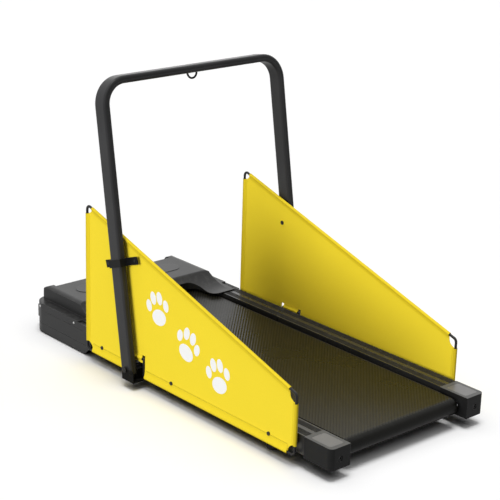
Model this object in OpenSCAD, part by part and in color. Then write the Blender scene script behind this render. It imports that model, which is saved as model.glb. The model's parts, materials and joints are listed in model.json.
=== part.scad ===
// Dog treadmill: a low walking deck with a motor hood at the front, cloth side panels on rod frames
// and a leash arch that folds back over the deck.
// X runs from the hood (-X) to the entry end (+X), Y runs across the belt, Z runs up from the floor.
// The left side is -Y, the right side is +Y. Lengths are millimetres.

/* [Overall] */
// Length from the front bumper to the rear end caps
machine_l = 1436; // [1350:1:1550]
// Height of the foot rails' top above the floor
rail_top = 99; // [95:1:110]

/* [Foot rails] */
// Width of a foot rail
rail_w = 68; // [64:1:72]
// Gap between a roller's end and the rail
rail_gap = 17; // [16:0.5:24]
// How far a rail's outer face lies inside the end cap's outer face
rail_inset = 3; // [2:0.5:6]
// Height of a rail's side walls
rail_h = 58; // [50:1:60]
// Wall of the rail extrusion
rail_wall = 3; // [2:0.5:3.5]
// Width of a grip strip
strip_w = 23; // [18:1:24]
// Thickness of a grip strip
strip_t = 2.4; // [1.5:0.1:2.8]
// Depth of the groove that holds a grip strip
groove_d = 3; // [2.8:0.1:3.5]
// Width of the lip beside a grip strip
rail_lip = 4; // [3:0.5:5]
// Distance of the rails' front end from the machine's front
rail_start = 268; // [255:1:290]

/* [Frame] */
// Width of a side beam
beam_w = 50; // [44:1:52]
// Height of a side beam
beam_h = 46; // [42:1:50]
// Wall of a side beam
beam_wall = 2.5; // [1.5:0.5:4]
// Distance of the beams' front end from the machine's front
beam_start = 60; // [50:1:70]
// Length of a beam behind the rear axle
beam_past = 16; // [13:1:22]
// Size of a cross tube along the deck
cross_l = 40; // [30:1:50]
// Wall of a cross tube
cross_wall = 2; // [1:0.5:3]
// Gap between a cross tube and the belt's lower run
cross_gap = 4; // [2:0.5:8]

/* [Deck and belt] */
// Distance from the walking belt's edge to the roller's end
belt_edge = 2; // [1:0.5:12]
// Thickness of the walking belt
belt_t = 1.8; // [1.4:0.1:2.4]
// Drop from the rail top to the belt's walking surface
belt_drop = 9; // [7:0.5:12]
// Radius of a roller drum
roller_r = 24; // [22:0.5:26]
// Length of a roller drum
roller_l = 444; // [443:1:450]
// Radius of a drum's hollow
drum_bore_r = 20; // [18.5:0.5:21]
// Distance of the rear axle from the caps' rear face
rear_setback = 48; // [44:1:56]
// Distance of the drive roller's axle from the machine's front
drive_setback = 218; // [210:1:226]
// Radius of a roller axle
axle_r = 8.5; // [7.5:0.5:10]
// Outer radius of a roller bearing
bearing_r = 17.5; // [15:0.5:18]
// Width of a roller bearing
bearing_w = 12; // [8:1:14]
// Thickness of the deck board
deck_t = 16; // [12:1:18]
// Width of the deck board
deck_w = 452; // [443:1:456]
// Gap between the deck board's edge and the rail
deck_side = 13; // [10:0.5:20]
// Gap between the deck board's end and the roller's belt
deck_gap = 12; // [6:1:30]
// Height of a deck cushion
cushion_h = 6; // [4:1:8]
// Radius of a deck cushion
cushion_r = 14; // [10:1:18]

/* [End caps] */
// Length of an end cap
cap_l = 107; // [98:1:115]
// Width of an end cap
cap_w = 73; // [72:1:84]
// Height of an end cap
cap_h = 65; // [56:1:70]
// Radius of a cap's outer rear corner
cap_round = 15; // [10:1:32]
// Wall of an end cap
cap_wall = 4; // [3:0.5:5]
// Length of the plain plate on a cap's top
plate_l = 76; // [50:1:84]
// Width of the plain plate on a cap's top
plate_w = 52; // [30:1:58]
// Thickness of the plain plate
plate_t = 0.8; // [0.5:0.1:1]
// Radius of the plain plate's corners
plate_r = 7; // [2:1:12]
// Width of the adjuster hole in a cap's rear wall
adjust_w = 13; // [12.5:0.5:16]
// Height of the adjuster hole in a cap's rear wall
adjust_h = 19; // [16:0.5:24]
// Radius of the axle opening in a cap's inner wall
axle_hole_r = 14; // [11:0.5:17]
// Radius of a tension bolt
tension_r = 4; // [3:0.5:5]
// Length of a tension bolt
tension_l = 76; // [64:1:90]
// Radius of a tension bolt's head
tension_head_r = 6; // [5.5:0.1:6.2]
// Height of a tension bolt's head
tension_head_h = 8; // [5:0.5:10]
// Size of the hex socket in a tension bolt's head
tension_socket_r = 3.4; // [2:0.1:4]

/* [Feet and wheels] */
// Radius of a rubber foot's pad
foot_r = 18; // [15:0.5:19]
// Height of a rubber foot's pad
foot_pad_h = 14; // [10:1:20]
// Radius of a rubber foot's neck
foot_neck_r = 12; // [8:0.5:13]
// How far a foot lies outside the middle of its beam
foot_out = 12; // [0:0.5:12]
// Distance of the front feet from the machine's front
foot_front = 143; // [135:1:155]
// Distance of the rear feet from the caps' rear face
foot_rear = 258; // [200:1:280]
// Radius of a transport wheel
wheel_r = 22; // [19:0.5:23]
// Width of a transport wheel
wheel_w = 18; // [12:1:20]
// Height of a transport wheel above the floor
wheel_lift = 3; // [1.5:0.5:5]
// Distance of the transport wheels' axle from the machine's front
wheel_setback = 46; // [44:1:48]
// Distance of a transport wheel's middle from the side beam
wheel_in = 18; // [17:0.5:60]
// Radius of a transport wheel's pin
wheel_pin_r = 5; // [4:0.5:6]
// Thickness of the pan's ribs that hold a wheel's pin
wheel_rib = 4; // [3:0.5:5]

/* [Drive] */
// Radius of the motor
motor_r = 40; // [36:1:42]
// Length of the motor
motor_l = 170; // [140:1:176]
// Distance of the motor's axis from the machine's front
motor_setback = 112; // [111:1:116]
// Distance of the motor's middle from the middle plane, towards the left
motor_y = 95; // [92:1:98]
// Radius of the motor's shaft
shaft_r = 7; // [5:0.5:8]
// Radius of the motor's flywheel
flywheel_r = 34; // [28:1:38]
// Width of the flywheel
flywheel_w = 14; // [10:1:16]
// Gap between the motor and the flywheel
flywheel_gap = 10; // [5:1:12]
// Radius of the pulley on the drive roller
roller_pulley_r = 34; // [30:1:34]
// Radius of the pulley on the motor shaft
motor_pulley_r = 12; // [10:0.5:14]
// Width of both pulleys
pulley_w = 14; // [12:0.5:14]
// Distance of the pulleys' middle from the side beam
pulley_in = 11; // [8:0.5:12.5]
// Thickness of the drive belt
drive_belt_t = 3; // [2:0.5:4]
// Width of the drive belt
drive_belt_w = 11; // [8:0.5:12]
// Height of the motor tray's floor above the floor
tray_z = 24; // [20:1:26]
// Thickness of the motor tray
tray_t = 3; // [2:0.5:4]
// Thickness of the saddle under the motor
saddle_t = 4; // [3:0.5:6]
// Length of the control board along the deck
board_l = 80; // [60:1:84]
// Width of the control board across the deck
board_w = 130; // [100:1:140]
// Thickness of the control board
board_t = 1.6; // [1:0.2:3]
// Height of the heat sink on the control board
sink_h = 46; // [30:1:60]

/* [Hood] */
// Height of the hood's flat top
hood_top = 143; // [135:1:150]
// Distance of the flat top's front edge from the machine's front
hood_front = 34; // [30:1:60]
// How far the foot of the hood's front wall lies ahead of the flat top
hood_slope = 18; // [10:1:19]
// Radius of the flat top's front edge
hood_front_r = 14; // [4:1:18]
// Distance of the hood's rear ridge from the machine's front
hood_ridge = 215; // [205:1:222]
// Radius of the rear ridge
ridge_r = 14; // [8:1:20]
// Radius of the dish behind the ridge
dish_r = 150; // [110:1:165]
// Distance of the hood's lip over the belt from the machine's front
hood_lip = 244; // [236:1:252]
// Distance of the rear end of the hood's wings from the machine's front
hood_end = 341; // [330:1:350]
// Width of the shelf between the shell's side and the foot of the hood's wall
hood_shelf = 35; // [30:1:40]
// How far the hood's side walls lean in
hood_lean = 6; // [2:0.5:12]
// Width of the rounded edge between a side wall and the flat top
hood_edge_w = 19; // [12:1:32]
// Drop of the rounded edge from the flat top to the side wall
hood_edge_h = 5; // [3:0.5:12]
// Wall of the hood
hood_wall = 3; // [2.6:0.1:4]
// Thickness of the hood's flange and wings
hood_flange_t = 2.5; // [2:0.1:2.5]
// Gap between the hood's flange and the shell's rim
flange_gap = 0.7; // [0.4:0.1:2]
// How far a wing reaches over the belt from the belt's edge
wing_lap = 24; // [10:1:40]
// How far a wing's outer edge lies inside the shell's side
wing_inset = 19; // [10:1:24]
// Radius of the inner corners of the opening between the wings
wing_round = 42; // [20:1:60]
// Radius of the inner corner at a wing's rear end
tail_round = 28; // [10:1:36]
// Width of a front corner nose
nose_w = 30; // [24:1:50]
// Radius of a front corner nose in the side view
nose_r = 20; // [12:1:24]
// Radius of the hood's front corners in plan
nose_round = 14; // [14:1:36]
// Length of the dark oval panel on the hood, across the deck
oval_l = 420; // [300:1:440]
// Width of the dark oval panel
oval_w = 66; // [40:1:80]
// Thickness of the dark oval panel
oval_t = 1.2; // [0.8:0.1:2]
// Distance of the oval panel's middle from the machine's front
oval_x = 126; // [100:1:132]

/* [Lower housing] */
// Gap between a rail and the lower shell's side wall
shell_gap = 1.2; // [0.6:0.1:3]
// Distance of the shell's front wall from the machine's front
shell_front = 12; // [10:1:20]
// Radius of the shell's front corners
shell_round = 54; // [40:1:60]
// Wall of the shell and the pan
shell_wall = 2.8; // [2:0.2:3]
// Height of the shell's top above the rail top
shell_rise = 1; // [0.5:0.5:3]
// Height of the seam between the pan and the shell
seam_z = 36; // [32:1:37]
// Height of the pan's underside
pan_z = 4; // [4:1:10]
// Length of the slant under the pan's front end
pan_slant_l = 30; // [10:1:34]
// Height of the slant under the pan's front end
pan_slant_h = 18; // [8:1:20]
// Height of the shadow gap under the shell's lower edge
seam_gap = 2.2; // [0.8:0.1:2.4]
// Height of the decorative groove on the shell's sides
line_z = 80; // [70:1:82]
// Width and depth of the decorative groove
line_w = 1; // [0.6:0.1:1.4]
// Height of the front bumper
bumper_h = 40; // [24:1:42]
// Radius of the bumper's ends
bumper_r = 8; // [5:1:11]
// Width of the ledge that carries the hood's flange
ledge_w = 20; // [14:1:28]
// Radius of a housing screw's head
housing_screw_r = 4; // [3:0.5:6]
// Distance of the front housing screws from the machine's front
housing_screw_a = 56; // [52:1:70]
// Distance of the rear housing screws from the machine's front
housing_screw_b = 247; // [200:1:300]
// Height of the housing screws
housing_screw_z = 92; // [86:0.5:93]

/* [Power socket] */
// Width of the power socket's face
socket_w = 64; // [60:1:80]
// Height of the power socket's face
socket_h = 20; // [18:1:21]
// Depth of the power socket's body
socket_d = 26; // [20:1:30]
// Thickness of the power socket's face
socket_t = 2; // [1.5:0.5:3]
// Distance of the power socket from the middle plane, towards the right
socket_y = 150; // [80:1:200]
// Travel of the breaker's reset button
breaker_travel = 2; // [1:0.5:3]

/* [Leash arch] */
// Height of the arch's top above the floor
arch_h = 937; // [850:1:1000]
// Size of the arch tube along the deck
tube_w = 50; // [40:0.5:54]
// Size of the arch tube across the deck
tube_t = 24; // [20:0.5:28]
// Wall of the arch tube
tube_wall = 2; // [1.5:0.5:3]
// Corner radius of the arch tube
tube_r = 7; // [3:0.5:9]
// Width of the groove along the tube's rear face
tube_groove = 4; // [2:0.5:8]
// Depth of the groove along the tube's rear face
tube_groove_d = 0.8; // [0.4:0.1:1.2]
// Radius of the arch's bends, to the tube's inner face
bend_r = 60; // [36:1:70]
// Forward lean of the arch in degrees
arch_lean = 9.5; // [6:0.5:12]
// Distance of the arch's pivot behind the hood's rear end
pivot_behind = 247; // [220:1:280]
// Height of the arch's pivot
pivot_z = 58; // [56:1:60]
// Length of the tube below the pivot
tube_tail = 12; // [10:0.5:13]
// Radius of the pivot bolt
pivot_r = 5; // [4:0.5:6]
// Gap between the panel's sleeve and the arch tube
tube_gap = 7; // [3.2:0.1:8]
// Radius of the leash ring
ring_r = 18; // [16:1:28]
// Radius of the leash ring's rod
ring_rod_r = 3.2; // [2:0.1:4]
// Length of an arch shoe along the deck
shoe_l = 56; // [48:1:70]
// How far the shoe's middle lies behind the pivot
shoe_back = 14; // [8:1:16]
// Thickness of the shoe's plates
shoe_t = 3; // [2:0.5:4]
// Height of the shoe's top above the pivot
shoe_rise = 3; // [1:0.5:10]
// Distance along the tube from the pivot to the clamp strap
clamp_up = 330; // [280:1:360]
// Width of the clamp strap
clamp_w = 24; // [18:1:30]
// Thickness of the clamp strap
clamp_t = 2; // [1.5:0.1:2.4]
// Distance from the tube's middle to the end of a clamp flange
clamp_reach = 82; // [60:1:90]
// Upward tilt of the clamp strap towards the rear in degrees
clamp_tilt = 19; // [12:0.5:24]

/* [Side panels] */
// Distance of the panels' middle plane from the rail's outer face
panel_out = 15; // [14:0.5:19]
// Distance of the panels' rear edge from the caps' rear face
panel_rear = 130; // [120:1:150]
// Height of the panels' lower rod above the floor
panel_z = 38; // [36:1:42]
// Height of the panels' front upper corner
panel_front_h = 520; // [420:1:600]
// Height of the panels' rear upper corner
panel_rear_h = 224; // [190:1:300]
// Radius of the panel rod
rod_r = 4; // [3:0.5:4]
// Bend radius of the panel rod at the panel's corners
rod_bend = 12; // [8:1:14]
// Bend radius of the panel rod at its bridge
bridge_bend = 6; // [5:0.5:6]
// Thickness of the panel cloth
cloth_t = 1.2; // [0.8:0.1:2]
// Radius of the round cut-outs at the panel's corners
corner_cut = 28; // [20:1:34]
// Length of the notch over the arch shoe
notch_l = 92; // [84:1:110]
// Distance from the pivot to the notch's front edge
notch_front = 43; // [38:1:50]
// Height of the notch above the panel's lower rod
notch_h = 44; // [30:1:48]
// Height of the rod's bridge above the panel's lower rod
bridge_h = 58; // [52:1:70]
// Width of the slots at the notch's ends
slot_w = 12; // [10:0.5:14]
// Height of the panel screws above the floor
panel_screw_z = 64; // [60:1:70]
// Radius of a panel screw's head
panel_screw_r = 6; // [5:0.5:8]
// Radius of a panel spacer
spacer_r = 8; // [6:0.5:10]

/* [Hidden] */
$fn = 48;
// Overrun of cuts past a face
over = 1;
// Clearance between pieces that are fixed together
seat = 0.2;
// Clearance around a soft piece
soft_gap = 0.3;
// Radial clearance of a shaft in its hole
fit = 0.08;
// Clearance of a piece that moves past another
run = 0.5;
// Points on a quarter arc of an outline
arc_n = 8;

half_l = machine_l / 2;
belt_w = roller_l - 2 * belt_edge;
// The rails stand clear of the wider of the rollers and the deck board
rail_y0 = max(roller_l / 2 + rail_gap, deck_w / 2 + deck_side);
rail_y1 = rail_y0 + rail_w;
rail_z0 = rail_top - rail_h;
rail_x0 = -half_l + rail_start;
cap_y1 = rail_y1 + rail_inset;
cap_y0 = cap_y1 - cap_w;
cap_x0 = half_l - cap_l;
cap_z0 = rail_top - cap_h;
rail_x1 = cap_x0 - seat;
beam_z1 = rail_top - groove_d - rail_wall - seat;
beam_z0 = beam_z1 - beam_h;
beam_y = (rail_y0 + rail_y1) / 2;
beam_y0 = beam_y - beam_w / 2;
belt_top = rail_top - belt_drop;
roller_z = belt_top - belt_t - seat - roller_r;
rear_x = half_l - rear_setback;
drive_x = -half_l + drive_setback;
belt_in_r = roller_r + seat;
belt_out_r = belt_in_r + belt_t;
beam_x0 = -half_l + beam_start;
beam_x1 = rear_x + beam_past;
deck_x0 = drive_x + belt_out_r + deck_gap;
deck_x1 = rear_x - belt_out_r - deck_gap;
deck_z1 = roller_z + belt_in_r - seat;
deck_z0 = deck_z1 - deck_t;
cross_z1 = deck_z0 - cushion_h - 2 * seat;
cross_z0 = roller_z - belt_in_r + cross_gap;
cross_shares = [0.07, 0.5, 0.94];
cross_x = [for (s = cross_shares) deck_x0 + s * (deck_x1 - deck_x0)];
cushion_y_share = 0.82;
axle_end = beam_y + beam_w / 4;
tension_y = beam_y;
tension_x1 = half_l - cap_wall / 2;
foot_y = beam_y + foot_out;
foot_h = beam_z0 - seat;
foot_chamfer = 3;
foot_x = [-half_l + foot_front, half_l - foot_rear];

tray_x0 = -half_l + wheel_setback + wheel_r + 2 * tray_t;
tray_x1 = drive_x - belt_out_r - 6 * tray_t;
motor_x = -half_l + motor_setback;
motor_z = tray_z + tray_t + saddle_t + motor_r;
motor_y0 = -motor_y - motor_l / 2;
motor_y1 = -motor_y + motor_l / 2;
flywheel_y0 = motor_y0 - flywheel_gap - flywheel_w;
pulley_y = beam_y0 - pulley_in;
wheel_y = beam_y0 - wheel_in;
pulley_y0 = -pulley_y - pulley_w / 2;
hub_r = bearing_r - run;

shell_x0 = -half_l + shell_front;
shell_y = rail_y1 + shell_gap + shell_wall;
hood_x1 = -half_l + hood_end;
shell_x1 = hood_x1;
shell_z1 = rail_top + shell_rise;
ledge_x1 = rail_x0 - run;
flange_z0 = shell_z1 + seat;
flange_z1 = flange_z0 + hood_flange_t;
flange_inset = shell_wall + flange_gap;
top_x0 = -half_l + hood_front;
lip_x = -half_l + hood_lip;
crease_z = hood_top - hood_edge_h;
hood_foot_y = shell_y - hood_shelf;
hood_crease_y = hood_foot_y - hood_lean;
hood_flat_y = hood_crease_y - hood_edge_w;
hood_edge_r = (pow(hood_edge_w, 2) + pow(hood_edge_h, 2)) / (2 * hood_edge_h);
nose_x0 = shell_x0 + flange_inset;
// Share of the shell's corner radius that the bumper stops short of the shell's side
bumper_end_share = 0.48;
nose_y = hood_crease_y - nose_w;
wing_y = belt_w / 2 - wing_lap;
wing_out_y = shell_y - wing_inset;
// Middles of the arcs of the ridge and of the dish, in X and Z, which meet in a smooth bend
ridge_c = [-half_l + hood_ridge, hood_top - ridge_r];
dish_z = flange_z1 + dish_r;
dish_c = [ridge_c[0] + sqrt(pow(ridge_r + dish_r, 2) - pow(dish_z - ridge_c[1], 2)), dish_z];
// How far the pan's rear end is cut back at its foot
pan_cut = 35;

pivot_x = hood_x1 + pivot_behind;
sleeve_r = rod_r + soft_gap + cloth_t;
panel_y = rail_y1 + panel_out;
tube_y0 = panel_y + sleeve_r + tube_gap;
tube_y1 = tube_y0 + tube_t;
// Length of the arch along its lean, from the pivot to the outer top face
arch_up = (arch_h - pivot_z - tube_w / 2 * sin(arch_lean)) / cos(arch_lean);
flange_y0 = tube_y0 - clamp_t - seat;
web_y0 = tube_y1 + soft_gap;
web_half = (tube_w / 2 + run) / cos(clamp_tilt - arch_lean) + clamp_w / 2 * tan(clamp_tilt - arch_lean);
shoe_x0 = pivot_x + shoe_back - shoe_l / 2;
shoe_z1 = pivot_z + shoe_rise;
tail_reach = norm([tube_tail + shoe_t, tube_w / 2]);
shoe_z0 = pivot_z - tail_reach - run - shoe_t;
bolt_head_r = 9;
bolt_head_h = 4;

panel_x0 = hood_x1;
panel_x1 = half_l - panel_rear;
notch_x0 = pivot_x - notch_front;
notch_x1 = notch_x0 + notch_l;
notch_z1 = panel_z + notch_h;
bridge_z = panel_z + bridge_h;
bridge_x0 = notch_x0 + slot_w / 2;
bridge_x1 = notch_x1 - slot_w / 2;
slot_z1 = bridge_z + slot_w;
// Places of the panel screws along the panel
panel_screw_shares = [0.08, 0.44, 0.89];
panel_screw_h = 2.6;
panel_shank_r = 3;
stud_r = 7;
stud_h = 1.6;
// Place of the panel's stud, on the arch's middle line
stud_x = pivot_x - clamp_up * sin(arch_lean);
stud_z = pivot_z + clamp_up * cos(arch_lean);

function arc(c, r, a0, a1, n = arc_n) =
    [for (i = [0:n]) c + r * [cos(a0 + (a1 - a0) * i / n), sin(a0 + (a1 - a0) * i / n)]];

// Outline of a rectangle with round corners, from one corner p to the opposite corner q
function round_box(p, q, r) = concat(
    arc([q[0] - r, q[1] - r], r, 0, 90),
    arc([p[0] + r, q[1] - r], r, 90, 180),
    arc([p[0] + r, p[1] + r], r, 180, 270),
    arc([q[0] - r, p[1] + r], r, 270, 360));

// Extrudes a Y-Z outline along X
module along_x(x0, x1) {
    translate([x0, 0, 0]) rotate([90, 0, 90]) linear_extrude(height = x1 - x0) children();
}

// Extrudes an X-Z outline along Y
module along_y(y0, y1) {
    translate([0, y1, 0]) rotate([90, 0, 0]) linear_extrude(height = y1 - y0) children();
}

// Extrudes an X-Y outline along Z
module along_z(z0, z1) {
    translate([0, 0, z0]) linear_extrude(height = z1 - z0) children();
}

// Box from one corner to the opposite corner
module box(p, q) {
    translate(p) cube(q - p);
}

// Cylinder along Y at a place in X and Z
module rod_y(x, z, y0, y1, r) {
    translate([x, y1, z]) rotate([90, 0, 0]) cylinder(h = y1 - y0, r = r);
}

// Cylinder along X at a place in Y and Z
module rod_x(y, z, x0, x1, r) {
    translate([x0, y, z]) rotate([0, 90, 0]) cylinder(h = x1 - x0, r = r);
}

// Places a right-hand piece on the right or, mirrored, on the left
module on_side(right) {
    if (right) children();
    else mirror([0, 1, 0]) children();
}

module both_sides() {
    for (right = [true, false]) on_side(right) children();
}

// Flat rectangle from one corner to the opposite corner
module flat(p, q) {
    translate(p) square(q - p);
}

// Flat rectangle with round corners
module round_flat(p, q, r) {
    flat(p + [r, 0], q - [r, 0]);
    flat(p + [0, r], q - [0, r]);
    for (x = [p[0] + r, q[0] - r], y = [p[1] + r, q[1] - r]) translate([x, y]) circle(r = r);
}

// Steel side beam of rectangular tube, with the bore of the drive axle and the open slot of the rear axle
module side_beam() {
    color("dimgray")
    difference() {
        box([beam_x0, beam_y0, beam_z0], [beam_x1, beam_y0 + beam_w, beam_z1]);
        box([beam_x0 - over, beam_y0 + beam_wall, beam_z0 + beam_wall],
            [beam_x1 + over, beam_y0 + beam_w - beam_wall, beam_z1 - beam_wall]);
        rod_y(drive_x, roller_z, beam_y0 - over, beam_y0 + beam_w + over, axle_r + fit);
        rod_y(rear_x, roller_z, beam_y0 - over, beam_y0 + beam_w + over, axle_r + seat);
        box([rear_x, beam_y0 - over, roller_z - axle_r - seat],
            [beam_x1 + over, beam_y0 + beam_w + over, roller_z + axle_r + seat]);
    }
}

module cross_tube(x) {
    y = beam_y0 - seat;
    color("dimgray")
    difference() {
        box([x - cross_l / 2, -y, cross_z0], [x + cross_l / 2, y, cross_z1]);
        box([x - cross_l / 2 + cross_wall, -y - over, cross_z0 + cross_wall],
            [x + cross_l / 2 - cross_wall, y + over, cross_z1 - cross_wall]);
    }
}

module strip_places() {
    for (y = [rail_y0 + rail_lip, rail_y1 - rail_lip - strip_w])
        translate([y, rail_top - groove_d]) children();
}

// Rail of inverted U section over the beam, with grooves for the strips and slots for the cross tubes
module foot_rail() {
    color("gray")
    difference() {
        along_x(rail_x0, rail_x1) difference() {
            translate([rail_y0, rail_z0]) square([rail_w, rail_h]);
            translate([rail_y0 + rail_wall, rail_z0 - over])
                square([rail_w - 2 * rail_wall, rail_h - groove_d - rail_wall + over]);
            strip_places() square([strip_w, groove_d + over]);
        }
        for (x = cross_x)
            box([x - cross_l / 2 - seat, rail_y0 - over, rail_z0 - over],
                [x + cross_l / 2 + seat, rail_y0 + rail_wall + over, cross_z1 + seat]);
    }
}

module grip_strips() {
    color([0.09, 0.09, 0.09])
    along_x(rail_x0, rail_x1) strip_places()
        translate([seat, seat]) square([strip_w - 2 * seat, strip_t]);
}

module deck_board() {
    color("tan")
    along_z(deck_z0, deck_z1)
        polygon(round_box([deck_x0, -deck_w / 2], [deck_x1, deck_w / 2], deck_gap));
}

module deck_cushions() {
    color("black")
    for (x = cross_x, side = [-1, 1])
        translate([x, side * cushion_y_share * belt_w / 2, cross_z1 + seat])
            cylinder(h = cushion_h, r = cushion_r);
}

module belt_outline(r) {
    translate([drive_x, roller_z]) circle(r = r);
    translate([rear_x, roller_z]) circle(r = r);
    translate([drive_x, roller_z - r]) square([rear_x - drive_x, 2 * r]);
}

module walking_belt() {
    color([0.16, 0.15, 0.13])
    along_y(-belt_w / 2, belt_w / 2) difference() {
        belt_outline(belt_out_r);
        belt_outline(belt_in_r);
    }
}

// Hollow roller drum, bored at both ends for its bearings
module roller(x) {
    color("silver")
    difference() {
        rod_y(x, roller_z, -roller_l / 2, roller_l / 2, roller_r);
        rod_y(x, roller_z, -roller_l / 2 - over, roller_l / 2 + over, bearing_r + fit);
        rod_y(x, roller_z, -roller_l / 2 + bearing_w, roller_l / 2 - bearing_w, drum_bore_r);
    }
}

module bearings(x) {
    color("lightgray")
    both_sides() difference() {
        rod_y(x, roller_z, roller_l / 2 - bearing_w, roller_l / 2, bearing_r);
        rod_y(x, roller_z, roller_l / 2 - bearing_w - over, roller_l / 2 + over, axle_r);
    }
}

module drive_axle() {
    color("silver") rod_y(drive_x, roller_z, -axle_end, axle_end, axle_r);
}

module rear_axle() {
    color("silver")
    difference() {
        rod_y(rear_x, roller_z, -axle_end, axle_end, axle_r);
        both_sides()
            rod_x(tension_y, roller_z, rear_x - axle_r - over, rear_x + axle_r + over, tension_r + fit);
    }
}

// Flat-belt pulley with a rim at each edge and ribs in between, as an outline around the Y axis
module pulley_body(x, z, r, y0, y1, bore) {
    rib_n = 5;
    rim = (y1 - y0 - drive_belt_w) / 2 - seat;
    rib_pitch = drive_belt_w / rib_n;
    rib_d = rib_pitch / 3;
    rim_r = r + drive_belt_t / 2;
    w = y1 - y0;
    ribs = [for (i = [0:rib_n - 1]) each [
        [r, rim + seat + i * rib_pitch], [r - rib_d, rim + seat + (i + 0.5) * rib_pitch]]];
    near_rim = [[bore, 0], [rim_r, 0], [rim_r, rim]];
    far_rim = [[r, w - rim], [rim_r, w - rim], [rim_r, w], [bore, w]];
    translate([x, y0, z]) rotate([-90, 0, 0]) rotate_extrude() polygon(concat(near_rim, ribs, far_rim));
}

module roller_pulley() {
    color("darkgray") {
        pulley_body(drive_x, roller_z, roller_pulley_r, pulley_y0, pulley_y0 + pulley_w, axle_r + run);
        difference() {
            rod_y(drive_x, roller_z, pulley_y0 + pulley_w, -roller_l / 2, roller_r - run);
            rod_y(drive_x, roller_z, pulley_y0 + pulley_w - over, -roller_l / 2 + over, hub_r);
        }
    }
}

// Socket-head bolt that draws the rear axle back
module tension_bolt() {
    color("silver")
    difference() {
        union() {
            rod_x(tension_y, roller_z, tension_x1 - tension_l, tension_x1 - tension_head_h, tension_r);
            rod_x(tension_y, roller_z, tension_x1 - tension_head_h, tension_x1, tension_head_r);
        }
        translate([tension_x1 - tension_head_h / 2, tension_y, roller_z]) rotate([0, 90, 0])
            cylinder(h = tension_head_h, r = tension_socket_r, $fn = 6);
    }
}

// Plan of an end cap, drawn in by an inset
module cap_plan(inset) {
    p = [cap_x0 + inset, cap_y0 + inset];
    q = [half_l - inset, cap_y1 - inset];
    r = max(cap_round - inset, inset);
    flat(p, q - [r, 0]);
    flat(p, q - [0, r]);
    translate(q - [r, r]) circle(r = r);
}

module plate_places() {
    translate([cap_x0 + (cap_l - plate_l) / 2, cap_y0 + (cap_w - plate_w) / 2]) children();
}

module end_cap() {
    color([0.2, 0.2, 0.2])
    difference() {
        along_z(cap_z0, rail_top) cap_plan(0);
        along_z(cap_z0 - over, beam_z1 + seat) cap_plan(cap_wall);
        along_z(rail_top - plate_t - seat, rail_top + over) plate_places()
            round_flat([0, 0], [plate_l, plate_w], plate_r);
        box([cap_x0 - over, cap_y0 + cap_wall, cap_z0 - over],
            [cap_x0 + cap_wall + over, cap_y1 - cap_wall, beam_z1 + seat]);
        rod_y(rear_x, roller_z, cap_y0 - over, cap_y0 + cap_wall + over, axle_hole_r);
        translate([half_l - cap_wall - over, 0, 0]) rotate([90, 0, 90])
            linear_extrude(height = cap_wall + 2 * over) translate([tension_y, roller_z])
                polygon(round_box([-adjust_w, -adjust_h] / 2, [adjust_w, adjust_h] / 2, adjust_w / 2));
    }
}

module cap_plates() {
    color("silver")
    both_sides() along_z(rail_top - plate_t, rail_top) plate_places()
        round_flat([seat, seat], [plate_l - seat, plate_w - seat], plate_r - seat);
}

module machine_feet() {
    color("black")
    both_sides() for (x = foot_x) translate([x, foot_y, 0]) {
        cylinder(h = foot_chamfer, r1 = foot_r - foot_chamfer, r2 = foot_r);
        translate([0, 0, foot_chamfer]) cylinder(h = foot_pad_h - foot_chamfer, r = foot_r);
        translate([0, 0, foot_pad_h]) cylinder(h = foot_h - foot_pad_h, r = foot_neck_r);
    }
}

// Sheet-steel tray hung under the two beams, with the saddle that carries the motor
module motor_tray() {
    y1 = beam_y0 + 3 * beam_wall;
    color("slategray") {
        box([tray_x0, -y1, tray_z], [tray_x1, y1, tray_z + tray_t]);
        both_sides() box([tray_x0, y1 - tray_t, tray_z], [tray_x1, y1, beam_z0 - seat]);
        difference() {
            box([motor_x - motor_r * 0.7, motor_y0 + motor_l / 6, tray_z],
                [motor_x + motor_r * 0.7, motor_y1 - motor_l / 6, motor_z - motor_r * 0.67]);
            rod_y(motor_x, motor_z, motor_y0 - over, motor_y1 + over, motor_r + seat);
        }
    }
}

module drive_motor() {
    bell_l = motor_l / 8;
    color([0.25, 0.25, 0.27])
    difference() {
        union() {
            rod_y(motor_x, motor_z, motor_y0 + bell_l, motor_y1 - bell_l, motor_r);
            rod_y(motor_x, motor_z, motor_y0, motor_y1, motor_r - saddle_t);
        }
        rod_y(motor_x, motor_z, motor_y0 - over, motor_y1 + over, shaft_r + fit);
    }
}

module motor_shaft() {
    color("silver") rod_y(motor_x, motor_z, pulley_y0, motor_y1 + shaft_r, shaft_r);
}

module flywheel() {
    color("dimgray")
    difference() {
        rod_y(motor_x, motor_z, flywheel_y0, flywheel_y0 + flywheel_w, flywheel_r);
        rod_y(motor_x, motor_z, flywheel_y0 - over, flywheel_y0 + flywheel_w + over, shaft_r);
        for (a = [0:60:300]) rotate_about(motor_x, motor_z, a)
            rod_y(motor_x + flywheel_r * 0.64, motor_z, flywheel_y0 - over,
                flywheel_y0 + flywheel_w + over, shaft_r * 0.8);
    }
}

// Turns a piece about a Y axis through a place in X and Z
module rotate_about(x, z, a) {
    translate([x, 0, z]) rotate([0, a, 0]) translate([-x, 0, -z]) children();
}

module motor_pulley() {
    color("silver")
        pulley_body(motor_x, motor_z, motor_pulley_r, pulley_y0, pulley_y0 + pulley_w, shaft_r);
}

// Outline round both pulleys, grown by a gap: an arc on each pulley, joined by their outer tangents
function drive_loop(grow) = let (
    m = [motor_x, motor_z],
    p = [drive_x, roller_z],
    tilt = atan2(p[1] - m[1], p[0] - m[0]),
    turn = acos((motor_pulley_r - roller_pulley_r) / norm(p - m)))
    concat(arc(m, motor_pulley_r + grow, tilt + turn, tilt + 360 - turn, 3 * arc_n),
        arc(p, roller_pulley_r + grow, tilt - turn, tilt + turn, 3 * arc_n));

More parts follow.
